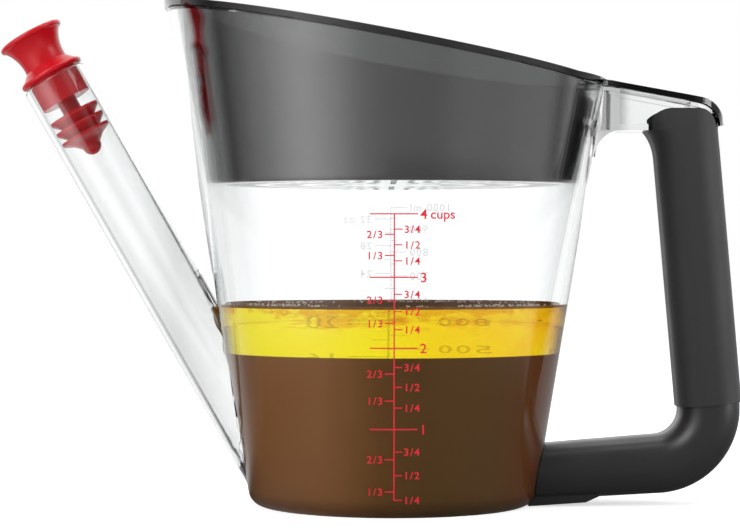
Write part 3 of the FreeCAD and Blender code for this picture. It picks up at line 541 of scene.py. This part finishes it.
def dressed(node: str, name: str, finish: Finish, body: Body) -> Piece:
    """Copy a CAD node's mesh, join its loose triangles, smooth its curved faces and dress it.

    Args:
        node: the CAD node, which the piece replaces.
        name: the new piece's name.
        finish: what it is made of.
        body: the body that it rides on.

    Returns:
        The new piece, at the origin.
    """
    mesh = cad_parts[node].data.copy()
    shape = bmesh.new()
    shape.from_mesh(mesh)
    bmesh.ops.remove_doubles(shape, verts=shape.verts, dist=mm(JOIN))
    bmesh.ops.dissolve_degenerate(shape, edges=shape.edges, dist=mm(JOIN))
    shape.to_mesh(mesh)
    shape.free()
    normals = mesh.attributes.get("custom_normal")
    if normals is not None:
        mesh.attributes.remove(normals)
    smooth(mesh, CAD_SHARP)
    piece = link(name, mesh, finish.make())
    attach(piece, body.value)
    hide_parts(node)
    return piece


def sockets(tree: Tree, kinds: dict[str, str]) -> bpy.types.NodeOutputs:
    """Give a geometry node tree its inputs and its one output.

    Args:
        tree: the tree, with geometry in and geometry out.
        kinds: its other inputs, as the type of each by its name.

    Returns:
        The inputs, as the tree's nodes read them.
    """
    tree.interface.new_socket("Geometry", in_out="INPUT", socket_type="NodeSocketGeometry")
    for name, kind in kinds.items():
        tree.interface.new_socket(name, in_out="INPUT", socket_type="NodeSocket" + kind)
    tree.interface.new_socket("Geometry", in_out="OUTPUT", socket_type="NodeSocketGeometry")
    return add(tree, "NodeGroupInput").outputs


def grown(name: str, seed_mesh: bpy.types.Mesh, tree: Tree, inputs: dict) -> Piece:
    """Run a geometry node tree on a mesh and keep its result as a plain mesh.

    Args:
        name: the new piece's name.
        seed_mesh: the mesh that the tree starts from.
        tree: the node tree.
        inputs: its inputs by name.

    Returns:
        The piece, at the origin, with no modifier left.
    """
    seed = bpy.data.objects.new(name + "_seed", seed_mesh)
    bpy.context.scene.collection.objects.link(seed)
    modifier = seed.modifiers.new("grow", "NODES")
    modifier.node_group = tree
    for item in tree.interface.items_tree:
        if item.in_out == "INPUT" and item.name in inputs:
            modifier[item.identifier] = inputs[item.name]
    mesh = bpy.data.meshes.new_from_object(seed.evaluated_get(bpy.context.evaluated_depsgraph_get()))
    seed.modifiers.remove(modifier)
    bpy.data.objects.remove(seed)
    mesh.name = name
    piece = bpy.data.objects.new(name, mesh)
    bpy.context.scene.collection.objects.link(piece)
    return piece


def circle(radius: float, height: float, steps: int) -> list[Point]:
    """Corners round the Z axis, in metres, from a radius and a height in millimetres."""
    turns = [2 * math.pi * i / steps for i in range(steps)]
    return [(mm(radius) * math.cos(turn), mm(radius) * math.sin(turn), mm(height)) for turn in turns]


def turned(name: str, profile: list[tuple[float, float]], finish: Finish) -> Piece:
    """Turn a profile about Z into a closed piece.

    Args:
        name: the piece's name.
        profile: radius and height of each corner, in millimetres, from the bottom's centre to the top's.
        finish: what it is made of.

    Returns:
        The piece, at the origin.
    """
    shape = bmesh.new()
    rings = [[shape.verts.new(corner) for corner in circle(radius, height, TURN_STEPS if radius else 1)]
             for radius, height in profile]
    for low, high in zip(rings, rings[1:]):
        for i in range(TURN_STEPS):
            j = (i + 1) % TURN_STEPS
            corners = [low[i % len(low)], low[j % len(low)], high[j % len(high)], high[i % len(high)]]
            unique = list(dict.fromkeys(corners))
            if len(unique) > 2:
                shape.faces.new(unique)
    bmesh.ops.recalc_face_normals(shape, faces=shape.faces)
    mesh = bpy.data.meshes.new(name)
    shape.to_mesh(mesh)
    shape.free()
    smooth(mesh, TURNED_SHARP)
    return link(name, mesh, finish.make())


# Jug and printed scales

@dataclass
class Pitcher:
    """The clear jug with its spout, web and bridge. Its sizes are in millimetres, its draft in degrees."""

    base_radius: float = 48.5
    draft: float = 9.5
    wall: float = 2.6
    floor_top: float = 2.8
    floor_round: float = 5.0
    finish: Finish = ClearPlastic("styrene_acrylonitrile_clear")

    def radius(self, height: float) -> float:
        """Outer radius of the jug's wall at a height, both in millimetres."""
        return self.base_radius + height * math.tan(math.radians(self.draft))

    def build(self) -> Piece:
        """Dress the clear moulding."""
        return dressed("pitcher", "clear_pitcher", self.finish, Body.JUG)


@dataclass(frozen=True)
class Tick:
    """A kind of printed line: its middle across the wall, its length and its stroke, in millimetres."""

    across: float
    length: float
    stroke: float


@dataclass(frozen=True)
class Lettering:
    """A kind of printed number: where it begins or ends across the wall, and its size, in millimetres."""

    across: float
    capitals: float
    ends_there: bool = False
    spacing: float = 1.2


@dataclass
class PrintedScale:
    """A measuring scale printed on the jug's sloping wall, with lines laid by geometry nodes."""

    jug: Pitcher
    side: Side
    ink: bpy.types.Material
    effective_wall: float = 2.1
    zero: float = -2.2
    film: float = 0.05
    rise: float = 0.03
    line_corners: int = 11
    stretch: float = 1.05
    boldness: float = 0.05
    capital_share: float = 0.72
    letter_steps: int = 5

    def height_of(self, millilitres: float) -> float:
        """Height on the wall of a volume, from the cone's own law.

        Args:
            millilitres: the volume below the mark.

        Returns:
            Height above the table, in millimetres.
        """
        slope = math.tan(math.radians(self.jug.draft))
        apex = (self.jug.base_radius - self.effective_wall) / slope
        share = math.pi / 3 * slope * slope / 1000
        return (millilitres / share + (self.zero + apex) ** 3) ** (1 / 3) - apex

    def on_wall(self, across: float, height: float, proud: float) -> Vector:
        """A point on the wall.

        Args:
            across: distance from the scale's middle line, as read from outside, in millimetres.
            height: height above the table, in millimetres.
            proud: how far out of the wall, in millimetres.

        Returns:
            The point, in metres.
        """
        radius = self.jug.radius(height) + self.rise + proud
        depth = math.sqrt(radius * radius - across * across)
        return Vector((mm(-self.side.value * across), mm(self.side.value * depth), mm(height)))

    def lines_tree(self) -> Tree:
        """Node tree that lays one thin strip of ink on the wall for every point it is given.

        Returns:
            The tree.
        """
        tree = bpy.data.node_groups.new("ink_lines_" + self.side.name.lower(), "GeometryNodeTree")
        given = sockets(tree, {
            "Foot Radius": "Float", "Wall Slope": "Float", "Side": "Float", "Film": "Float",
            "Ink": "Material"})
        length, stroke = [add(tree, "GeometryNodeInputNamedAttribute", {"data_type": "FLOAT", "Name": name})
                          for name in ("length", "stroke")]
        size = add(tree, "ShaderNodeCombineXYZ", {
            "X": length.outputs["Attribute"], "Y": stroke.outputs["Attribute"], "Z": 1.0})
        quarter = add(tree, "ShaderNodeMath", {"operation": "MULTIPLY", 0: given["Side"], 1: -math.pi / 2})
        stand = add(tree, "ShaderNodeCombineXYZ", {"X": quarter})
        strip = add(tree, "GeometryNodeMeshGrid", {
            "Size X": 1.0, "Size Y": 1.0, "Vertices X": self.line_corners, "Vertices Y": 2})
        laid = add(tree, "GeometryNodeInstanceOnPoints", {
            "Points": given["Geometry"], "Instance": strip, "Rotation": stand, "Scale": size})
        loose = add(tree, "GeometryNodeRealizeInstances", {0: laid})
        axes = add(tree, "ShaderNodeSeparateXYZ", {0: add(tree, "GeometryNodeInputPosition")}).outputs
        radius = add(tree, "ShaderNodeMath", {
            "operation": "MULTIPLY_ADD", 0: axes["Z"], 1: given["Wall Slope"], 2: given["Foot Radius"]})
        radius_2 = add(tree, "ShaderNodeMath", {"operation": "MULTIPLY", 0: radius, 1: radius})
        across_2 = add(tree, "ShaderNodeMath", {"operation": "MULTIPLY", 0: axes["X"], 1: axes["X"]})
        depth_2 = add(tree, "ShaderNodeMath", {"operation": "SUBTRACT", 0: radius_2, 1: across_2})
        depth = add(tree, "ShaderNodeMath", {"operation": "SQRT", 0: depth_2})
        out = add(tree, "ShaderNodeMath", {"operation": "MULTIPLY", 0: depth, 1: given["Side"]})
        wall = add(tree, "ShaderNodeCombineXYZ", {"X": axes["X"], "Y": out, "Z": axes["Z"]})
        wrapped = add(tree, "GeometryNodeSetPosition", {"Geometry": loose, "Position": wall})
        top = add(tree, "GeometryNodeExtrudeMesh", {
            "mode": "FACES", "Individual": False, "Mesh": wrapped, "Offset Scale": given["Film"]})
        both = add(tree, "GeometryNodeJoinGeometry", {0: top})
        tree.links.new(add(tree, "GeometryNodeFlipFaces", {0: wrapped}).outputs[0], both.inputs[0])
        closed = add(tree, "GeometryNodeMergeByDistance", {0: both, "Distance": mm(WELD)})
        whole = add(tree, "GeometryNodeRealizeInstances", {0: closed})
        inked = add(tree, "GeometryNodeSetMaterial", {"Geometry": whole, "Material": given["Ink"]})
        add(tree, "NodeGroupOutput", {0: inked})
        return tree

    def lines(self, name: str, ticks: list[tuple[Tick, float]]) -> Piece:
        """Print the scale's lines.

        Args:
            name: the piece's name.
            ticks: each line's kind and the height of its middle, in millimetres.

        Returns:
            One piece with a closed strip for each line.
        """
        mesh = bpy.data.meshes.new(name + "_points")
        middles = [(mm(-self.side.value * tick.across), 0, mm(height)) for tick, height in ticks]
        mesh.from_pydata(middles, [], [])
        for measure in ("length", "stroke"):
            values = [mm(getattr(tick, measure)) for tick, height in ticks]
            mesh.attributes.new(measure, "FLOAT", "POINT").data.foreach_set("value", values)
        slope = math.tan(math.radians(self.jug.draft))
        inputs = {"Foot Radius": mm(self.jug.base_radius + self.rise), "Wall Slope": slope,
                  "Side": float(self.side.value), "Film": mm(self.film), "Ink": self.ink}
        return grown(name, mesh, self.lines_tree(), inputs)

    def numbers(self, name: str, labels: list[tuple[Lettering, float, str]]) -> Piece:
        """Print the scale's numbers.

        Args:
            name: the piece's name.
            labels: each number's kind, the height of its middle in millimetres, and its text.

        Returns:
            One piece with all the letters, wrapped on the wall.
        """
        whole = bmesh.new()
        for kind, middle, words in labels:
            text = bpy.data.curves.new("label", "FONT")
            text.body = words
            text.size = kind.capitals / self.capital_share
            text.space_character = kind.spacing
            text.extrude = self.film / 2
            text.offset = self.boldness
            text.resolution_u = self.letter_steps
            text.align_x = "RIGHT" if kind.ends_there else "LEFT"
            letters = bpy.data.objects.new("label", text)
            shape = bmesh.new()
            shape.from_mesh(bpy.data.meshes.new_from_object(letters))
            for corner in shape.verts:
                across = kind.across + self.stretch * corner.co.x
                height = middle - kind.capitals / 2 + corner.co.y
                corner.co = self.on_wall(across, height, corner.co.z + self.film / 2)
            flat = bpy.data.meshes.new("label")
            shape.to_mesh(flat)
            shape.free()
            whole.from_mesh(flat)
            bpy.data.objects.remove(letters)
        bmesh.ops.remove_doubles(whole, verts=whole.verts, dist=mm(WELD))
        bmesh.ops.recalc_face_normals(whole, faces=whole.faces)
        mesh = bpy.data.meshes.new(name)
        whole.to_mesh(mesh)
        whole.free()
        return link(name, mesh, self.ink)


@dataclass
class CupScale(PrintedScale):
    """Red scale of cups on the front, in quarters at its right and thirds at its left."""

    cup: float = 236.588
    cups: int = 4
    stem: float = 0.42
    cup_tick: Tick = Tick(-0.1, 15.2, 0.4)
    quarter_tick: Tick = Tick(1.25, 2.6, 0.36)
    third_tick: Tick = Tick(-1.5, 3.0, 0.36)
    cup_number: Lettering = Lettering(8.2, 3.15)
    cup_word: Lettering = Lettering(11.4, 3.0, spacing=1.0)
    quarter_number: Lettering = Lettering(3.1, 2.4)
    third_number: Lettering = Lettering(-3.6, 2.4, True)

    def build(self) -> list[Piece]:
        """Print the cups scale.

        Returns:
            Its lines and its numbers.
        """
        top, foot = self.height_of(self.cups * self.cup), self.height_of(0.25 * self.cup)
        ticks = [(Tick(0, self.stem, top - foot), (top + foot) / 2)]
        labels = []
        for cups in range(self.cups, 0, -1):
            height = self.height_of(cups * self.cup)
            ticks.append((self.cup_tick, height))
            labels.append((self.cup_number, height, str(cups)))
        labels.append((self.cup_word, top, "cups"))
        for whole in range(self.cups):
            for part, parts in ((3, 4), (1, 2), (1, 4), (2, 3), (1, 3)):
                height = self.height_of((whole + part / parts) * self.cup)
                ticks.append((self.third_tick if parts == 3 else self.quarter_tick, height))
                labels.append((self.third_number if parts == 3 else self.quarter_number, height,
                               "%d/%d" % (part, parts)))
        return [self.lines("cup_scale_lines", ticks), self.numbers("cup_scale_numbers", labels)]


@dataclass
class MetricScale(PrintedScale):
    """Pale scale of millilitres and fluid ounces on the back."""

    ounce: float = 29.5735
    most_millilitres: int = 1000
    most_ounces: int = 32
    stem: float = 0.36
    hundred_tick: Tick = Tick(-3.0, 6.0, 0.34)
    fifty_tick: Tick = Tick(-1.2, 2.4, 0.3)
    four_ounce_tick: Tick = Tick(3.0, 6.0, 0.34)
    two_ounce_tick: Tick = Tick(1.2, 2.4, 0.3)
    millilitre_number: Lettering = Lettering(-7.2, 2.8, True)
    ounce_number: Lettering = Lettering(7.2, 2.8)

    def build(self) -> list[Piece]:
        """Print the metric scale.

        Returns:
            Its lines and its numbers.
        """
        top, foot = self.height_of(self.most_millilitres), self.height_of(100)
        ticks = [(Tick(0, self.stem, top - foot), (top + foot) / 2)]
        labels = []
        for amount in range(self.most_millilitres, 0, -100):
            height = self.height_of(amount)
            ticks.append((self.hundred_tick, height))
            text = "%d ml" % amount if amount == self.most_millilitres else str(amount)
            labels.append((self.millilitre_number, height, text))
            if amount > 100:
                ticks.append((self.fifty_tick, self.height_of(amount - 50)))
        for ounces in range(self.most_ounces, 0, -4):
            height = self.height_of(ounces * self.ounce)
            ticks.append((self.four_ounce_tick, height))
            text = "%d oz" % ounces if ounces == self.most_ounces else str(ounces)
            labels.append((self.ounce_number, height, text))
            ticks.append((self.two_ounce_tick, self.height_of((ounces - 2) * self.ounce)))
        return [self.lines("metric_scale_lines", ticks), self.numbers("metric_scale_numbers", labels)]


# Lid, stopper and handle

@dataclass
class Strainer:
    """The dark see-through strainer that nests in the jug."""

    finish: Finish = ClearPlastic("styrene_acrylonitrile_smoke", smoke=2400.0, smoke_tint="7A7A7C")

    def build(self) -> Piece:
        """Dress the smoked moulding."""
        return dressed("strainer", "smoked_strainer", self.finish, Body.LID)


@dataclass
class SpoutStopper:
    """The silicone stopper in the spout's mouth."""

    finish: Finish = SiliconeRubber("silicone_red")

    def build(self) -> Piece:
        """Dress the stopper."""
        return dressed("spout_stopper", "silicone_stopper", self.finish, Body.STOPPER)


@dataclass
class Handle:
    """The rigid elbow and the soft grip over its spine."""

    rigid: Finish = DarkMoulding("abs_black_grained", roughness=0.36)
    soft: Finish = DarkMoulding("elastomer_black_soft", colour="252526", roughness=0.62, sheen=0.15)

    def build(self) -> list[Piece]:
        """Dress both black mouldings, the elbow and the grip."""
        return [dressed("handle_frame", "rigid_elbow", self.rigid, Body.JUG),
                dressed("grip_sleeve", "soft_grip", self.soft, Body.JUG)]


# Contents

@dataclass
class Contents:
    """Gravy with a layer of fat on it, poured into the jug, with a browned skin and froth on the fat.

    Its sizes are in millimetres. Each layer wets the jug's wall, and the fat wets the gravy. The skin lies
    a hair above the fat and creeps up the wall.
    """

    jug: Pitcher
    gravy_top: float = 52.6
    fat_top: float = 68.2
    wetting: float = 0.15
    fat_wetting: float = 0.2
    skin_gap: float = 0.03
    skin_film: float = 0.3
    skin_creep: float = 0.9
    skin_bend: tuple[float, float] = (0.5, 0.25)
    skin_bend_width: float = 1.6
    froth_inset: float = 0.9
    froth_width: float = 24.0
    froth_rise: float = 0.35
    froth_density: float = 160000.0
    froth_cluster_size: float = 50.0
    froth_cluster_share: float = 0.57
    froth_sizes: tuple[float, float] = (0.2, 0.6)
    froth_sink: float = 0.25
    seed: int = 7

    def inner(self, height: float) -> float:
        """Radius of the contents at a height, just inside the jug's wall."""
        return self.jug.radius(height) - self.jug.wall + self.wetting

    def floor_corner(self, steps: int = 6) -> list[tuple[float, float]]:
        """The rounded edge between the jug's floor and its wall.

        Args:
            steps: sides of the round.

        Returns:
            Radius and height of its corners, from the floor up.
        """
        floor, bend = self.jug.floor_top - self.wetting, self.jug.floor_round
        turn = 90 + self.jug.draft
        middle = self.inner(floor + bend) - bend / math.cos(math.radians(self.jug.draft))
        angles = [math.radians(turn * i / steps) for i in range(steps)]
        return [(middle + bend * math.sin(a), floor + bend - bend * math.cos(a)) for a in angles]

    def scatter_tree(self) -> Tree:
        """Node tree that scatters small balls over a surface, in clusters.

        Returns:
            The tree.
        """
        tree = bpy.data.node_groups.new("froth", "GeometryNodeTree")
        given = sockets(tree, {
            "Density": "Float", "Cluster Size": "Float", "Cluster Share": "Float", "Smallest": "Float",
            "Largest": "Float", "Sink": "Float", "Seed": "Int", "Finish": "Material"})
        clusters = add(tree, "ShaderNodeTexNoise", {"Scale": given["Cluster Size"], "Detail": 1.0})
        here = add(tree, "FunctionNodeCompare", {
            "data_type": "FLOAT", "operation": "GREATER_THAN", "A": clusters, "B": given["Cluster Share"]})
        points = add(tree, "GeometryNodeDistributePointsOnFaces", {
            "distribute_method": "RANDOM", "Mesh": given["Geometry"], "Selection": here,
            "Density": given["Density"], "Seed": given["Seed"]})
        size = add(tree, "FunctionNodeRandomValue", {
            "data_type": "FLOAT", 2: given["Smallest"], 3: given["Largest"], "Seed": given["Seed"]})
        lower = add(tree, "FunctionNodeRandomValue", {
            "data_type": "FLOAT", 2: 0.0, 3: given["Sink"], "Seed": given["Seed"]})
        depth = add(tree, "ShaderNodeMath", {"operation": "MULTIPLY", 0: lower.outputs[1], 1: -1.0})
        down = add(tree, "ShaderNodeCombineXYZ", {"Z": depth})
        sunk = add(tree, "GeometryNodeSetPosition", {"Geometry": points, "Offset": down})
        ball = add(tree, "GeometryNodeMeshIcoSphere", {"Radius": 1.0, "Subdivisions": 1})
        balls = add(tree, "GeometryNodeInstanceOnPoints", {
            "Points": sunk, "Instance": ball, "Scale": size.outputs[1]})
        whole = add(tree, "GeometryNodeRealizeInstances", {0: balls})
        rounded = add(tree, "GeometryNodeSetShadeSmooth", {0: whole})
        done = add(tree, "GeometryNodeSetMaterial", {"Geometry": rounded, "Material": given["Finish"]})
        add(tree, "NodeGroupOutput", {0: done})
        return tree

    def surface_ring(self, height: float, steps: int = 96) -> bpy.types.Mesh:
        """Flat ring inside the wall, for froth to be scattered on.

        Args:
            height: its height above the table, in millimetres.
            steps: corners round the ring.

        Returns:
            The ring's mesh.
        """
        outer = self.inner(height) - self.froth_inset
        corners = circle(outer, height, steps) + circle(outer - self.froth_width, height, steps)
        faces = [(i, (i + 1) % steps, steps + (i + 1) % steps, steps + i) for i in range(steps)]
        mesh = bpy.data.meshes.new("surface_ring")
        mesh.from_pydata(corners, [], faces)
        return mesh

    def layers(self) -> list[Piece]:
        """Pour the gravy and the fat.

        Returns:
            Both layers.
        """
        floor, top = self.jug.floor_top - self.wetting, self.fat_top
        gravy = [(0, floor)] + self.floor_corner()
        gravy += [(self.inner(self.gravy_top), self.gravy_top), (0, self.gravy_top)]
        bottom = self.gravy_top - self.fat_wetting
        fat = [(0, bottom), (self.inner(bottom), bottom), (self.inner(top), top), (0, top)]
        return [turned("gravy", gravy, Gravy("gravy_cloudy")), turned("fat", fat, MeltedFat("fat_melted"))]

    def skin(self) -> Piece:
        """Lay the browned skin on the fat.

        Returns:
            The skin.
        """
        low, film, creep = [self.fat_top + rise for rise in (self.skin_gap, self.skin_film, self.skin_creep)]
        edge, (bend_in, bend_up) = self.inner(self.fat_top), self.skin_bend
        profile = [(0, low), (self.inner(low), low), (self.inner(creep), creep),
                   (edge - bend_in, film + bend_up), (edge - self.skin_bend_width, film), (0, film)]
        return turned("fat_skin", profile, Speck("fat_skin_browned", "B9874F", "7C512B", 0.5, shine=0.0))

    def froth(self) -> Piece:
        """Scatter froth along the wall.

        Returns:
            All of its bubbles as one piece.
        """
        ring = self.surface_ring(self.fat_top + self.skin_film + self.froth_rise)
        smallest, largest = self.froth_sizes
        return grown("froth", ring, self.scatter_tree(), {
            "Density": self.froth_density, "Cluster Size": self.froth_cluster_size,
            "Cluster Share": self.froth_cluster_share, "Smallest": mm(smallest), "Largest": mm(largest),
            "Sink": mm(self.froth_sink), "Seed": self.seed,
            "Finish": Speck("froth_pale", "F4EBDD", "D9C8B0", 0.2).make()})

    def build(self) -> list[Piece]:
        """Fill the jug.

        Returns:
            Gravy, fat, skin and froth.
        """
        pieces = self.layers() + [self.skin(), self.froth()]
        for piece in pieces:
            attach(piece, Body.JUG.value)
        return pieces


# Studio

@dataclass(frozen=True)
class SoftBox:
    """A lamp: its middle, its width and height and its aim, in metres, and its power in watts."""

    name: str
    place: Point
    size: tuple[float, float]
    power: float
    aim: Point = (0.0, 0.0, 0.08)

    def hang(self) -> None:
        """Hang the lamp, unseen through clear things."""
        data = bpy.data.lights.new(self.name, "AREA")
        data.shape = "RECTANGLE"
        data.size, data.size_y = self.size
        data.energy = self.power
        lamp = bpy.data.objects.new(self.name, data)
        bpy.context.scene.collection.objects.link(lamp)
        lamp.location = self.place
        lamp.rotation_euler = (Vector(self.aim) - Vector(self.place)).to_track_quat("-Z", "Y").to_euler()
        lamp.visible_transmission = False


@dataclass
class Studio:
    """Floor, backdrop light, lamps and camera.

    What bends or mirrors light sees a white backdrop behind the object, dark cards at its sides, a soft box
    at the left and a dim room in front. Each level stands at its angle from the backdrop's middle, in
    degrees.
    """

    soft_light: float = 0.5
    glow: float = 2.0
    room: Levels = (
        (-180, 0.06), (-165, 0.08), (-152, 0.3), (-142, 0.8), (-130, 0.95), (-110, 0.9), (-90, 0.6),
        (-70, 0.4), (-58, 0.58), (-46, 0.66), (50, 0.66), (60, 0.5), (70, 0.18), (90, 0.25), (110, 0.3),
        (140, 0.22), (160, 0.08), (180, 0.06))
    backdrop: Levels = ((-74, 0.2), (-60, 0.48), (-48, 0.7), (50, 0.7), (62, 0.44), (74, 0.22))
    # painted light and shade on the table, as gloss and clear plastic see it: bright and dark patches by
    # their angle round the object
    tabletop: Levels = (
        (-180, 0.34), (-173, 0.37), (-164, 0.44), (-152, 0.68), (-143, 0.85), (-134, 0.97), (-127, 0.93),
        (-117, 0.74), (-107, 0.54), (-92, 0.3), (-78, 0.1), (-68, 0.16), (-58, 0.3), (-38, 0.34), (-30, 0.16),
        (-20, 0.16), (-12, 0.5), (11, 0.5), (17, 0.2), (60, 0.18), (76, 0.14), (88, 0.35), (105, 0.4),
        (145, 0.37), (156, 0.3), (170, 0.32), (180, 0.34))
    table_colour: str = "E7E7E7"
    table_lift: float = 0.62
    table_half: float = 6.0
    # painted shadow: how dark the table's glow is close to the object's foot
    foot_dark: float = 0.1
    foot_reach: tuple[float, float] = (0.16, 0.42)
    foot_front: tuple[float, float] = (0.06, 0.0)
    lamps: tuple[SoftBox, ...] = (
        SoftBox("key", (-0.9, -0.9, 0.9), (0.9, 0.9), 9.0),
        SoftBox("fill", (1.1, -0.5, 0.6), (0.7, 0.9), 5.0),
        SoftBox("top", (0.1, 0.1, 1.3), (1.0, 0.8), 6.0),
        SoftBox("low", (0.9, -0.35, 0.14), (0.3, 0.5), 2.0, (0.1, 0.0, 0.05)))
    camera_place: Point = (-7.7, -823.0, 87.1)
    camera_dip: float = 0.38
    lens: float = 116.8
    sensor: float = 36.0
    nearest: float = 0.01

    def seen_through(self, levels: Levels) -> Levels:
        """Levels for what is seen through something clear.

        Args:
            levels: the levels that gloss reflects.

        Returns:
            The same levels, with the even white backdrop behind the object.
        """
        edge = self.backdrop[-1][0]
        left = tuple(point for point in levels if point[0] < -edge)
        return left + self.backdrop + tuple(point for point in levels if point[0] > edge)

    @staticmethod
    def level(tree: Tree, place: Socket, levels: Levels) -> Node:
        """How bright the room is in a direction, or how bright the table's painted light is at a point.

        Args:
            tree: the tree that asks.
            place: the direction or the point, from the object's axis.
            levels: the levels.

        Returns:
            A grey.
        """
        axes = add(tree, "ShaderNodeSeparateXYZ", {0: place}).outputs
        turn = add(tree, "ShaderNodeMath", {"operation": "ARCTAN2", 0: axes["X"], 1: axes["Y"]})
        return ramp(tree, turn, [(math.radians(angle), (grey, grey, grey, 1.0)) for angle, grey in levels])

    @staticmethod
    def chosen(tree: Tree, soft: Node, mirrored: Node, through: Node, straight: Node) -> Node:
        """Give each kind of ray its own shader.

        Args:
            tree: the tree to add to.
            soft: what lights matte surfaces.
            mirrored: what gloss reflects.
            through: what is seen through something clear.
            straight: what the camera sees.

        Returns:
            The mixed shader.
        """
        path = add(tree, "ShaderNodeLightPath").outputs
        for kind, shader in (("Is Glossy Ray", mirrored), ("Is Transmission Ray", through),
                             ("Is Camera Ray", straight)):
            soft = add(tree, "ShaderNodeMixShader", {0: path[kind], 1: soft, 2: shader})
        return soft

    def world(self) -> None:
        """White to the camera, the room's levels to what bends or mirrors, and plain soft light."""
        world = bpy.data.worlds.new("studio")
        bpy.context.scene.world = world
        tree = emptied(world)
        ray = add(tree, "ShaderNodeTexCoord").outputs["Generated"]
        soft, plain = [add(tree, "ShaderNodeBackground", {"Color": linear("FFFFFF"), "Strength": strength})
                       for strength in (self.soft_light, 1.0)]
        mirrored, through = [
            add(tree, "ShaderNodeBackground", {"Color": self.level(tree, ray, levels), "Strength": self.glow})
            for levels in (self.room, self.seen_through(self.room))]
        add(tree, "ShaderNodeOutputWorld", {"Surface": self.chosen(tree, soft, mirrored, through, plain)})

    def table_power(self, tree: Tree, place: Socket) -> Node:
        """How strongly the table's painted light shows: least in front of the object, close to its foot,
        where it paints a shadow.

        Args:
            tree: the table's tree.
            place: the point on the table.

        Returns:
            The strength.
        """
        reach = add(tree, "ShaderNodeVectorMath", {"operation": "LENGTH", 0: place})
        near = add(tree, "ShaderNodeMapRange", {
            "interpolation_type": "SMOOTHSTEP", "Value": reach.outputs["Value"],
            "From Min": self.foot_reach[0], "From Max": self.foot_reach[1], "To Min": self.foot_dark})
        axes = add(tree, "ShaderNodeSeparateXYZ", {0: place}).outputs
        front = add(tree, "ShaderNodeMapRange", {
            "interpolation_type": "SMOOTHSTEP", "Value": axes["Y"], "From Min": self.foot_front[0],
            "From Max": self.foot_front[1]})
        fade = add(tree, "ShaderNodeMix", {"data_type": "FLOAT", 0: front, 2: 1.0, 3: near})
        return add(tree, "ShaderNodeMath", {"operation": "MULTIPLY", 0: fade, 1: self.glow})

    def table(self) -> None:
        """Lay a plain pale table that keeps the object's shadow, and glows with painted light and shade for
        what mirrors or bends light.
        """
        material = bpy.data.materials.new("table_white")
        tree = emptied(material)
        place = add(tree, "ShaderNodeTexCoord").outputs["Object"]
        matte = add(tree, "ShaderNodeBsdfDiffuse", {"Color": linear(self.table_colour)})
        lift = add(tree, "ShaderNodeEmission", {"Color": linear("FFFFFF"), "Strength": self.table_lift})
        seen = add(tree, "ShaderNodeAddShader", {0: matte, 1: lift})
        # the table glows with painted light and shade for gloss and for what is seen through clear plastic,
        # darkened near the foot as a painted shadow
        power = self.table_power(tree, place)
        mirrored, through = [
            add(tree, "ShaderNodeEmission", {"Color": self.level(tree, place, levels), "Strength": power})
            for levels in (self.tabletop, self.seen_through(self.tabletop))]
        add(tree, "ShaderNodeOutputMaterial", {"Surface": self.chosen(tree, matte, mirrored, through, seen)})
        shape = bmesh.new()
        bmesh.ops.create_grid(shape, x_segments=1, y_segments=1, size=self.table_half)
        mesh = bpy.data.meshes.new("table")
        shape.to_mesh(mesh)
        shape.free()
        table = link("table", mesh, material)

    def camera(self) -> None:
        """Stand the camera level with the jug, square to its side."""
        data = bpy.data.cameras.new("camera")
        data.lens = self.lens
        data.sensor_width = self.sensor
        data.clip_start = self.nearest
        camera = bpy.data.objects.new("camera", data)
        bpy.context.scene.collection.objects.link(camera)
        camera.location = [mm(length) for length in self.camera_place]
        camera.rotation_euler = (math.radians(90 - self.camera_dip), 0, 0)
        bpy.context.scene.camera = camera

    def build(self) -> None:
        """Set up the whole studio."""
        bpy.context.scene.view_settings.view_transform = "Standard"
        self.world()
        self.table()
        for lamp in self.lamps:
            lamp.hang()
        self.camera()


def main() -> None:
    """Build every sub-assembly in order and report each piece."""
    Studio().build()
    pitcher = Pitcher()
    pieces = [pitcher.build(), Strainer().build(), SpoutStopper().build()]
    pieces += Handle().build()
    printed = CupScale(pitcher, Side.FRONT, PrintedInk("screen_ink_red").make()).build()
    printed += MetricScale(pitcher, Side.BACK, ThinInk("screen_ink_pale").make()).build()
    for piece in printed:
        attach(piece, Body.JUG.value)
    pieces += printed
    pieces += Contents(pitcher).build()
    for piece in pieces:
        log.info("%s: %d faces", piece.name, len(piece.data.polygons))


if __name__ == "__main__":
    main()
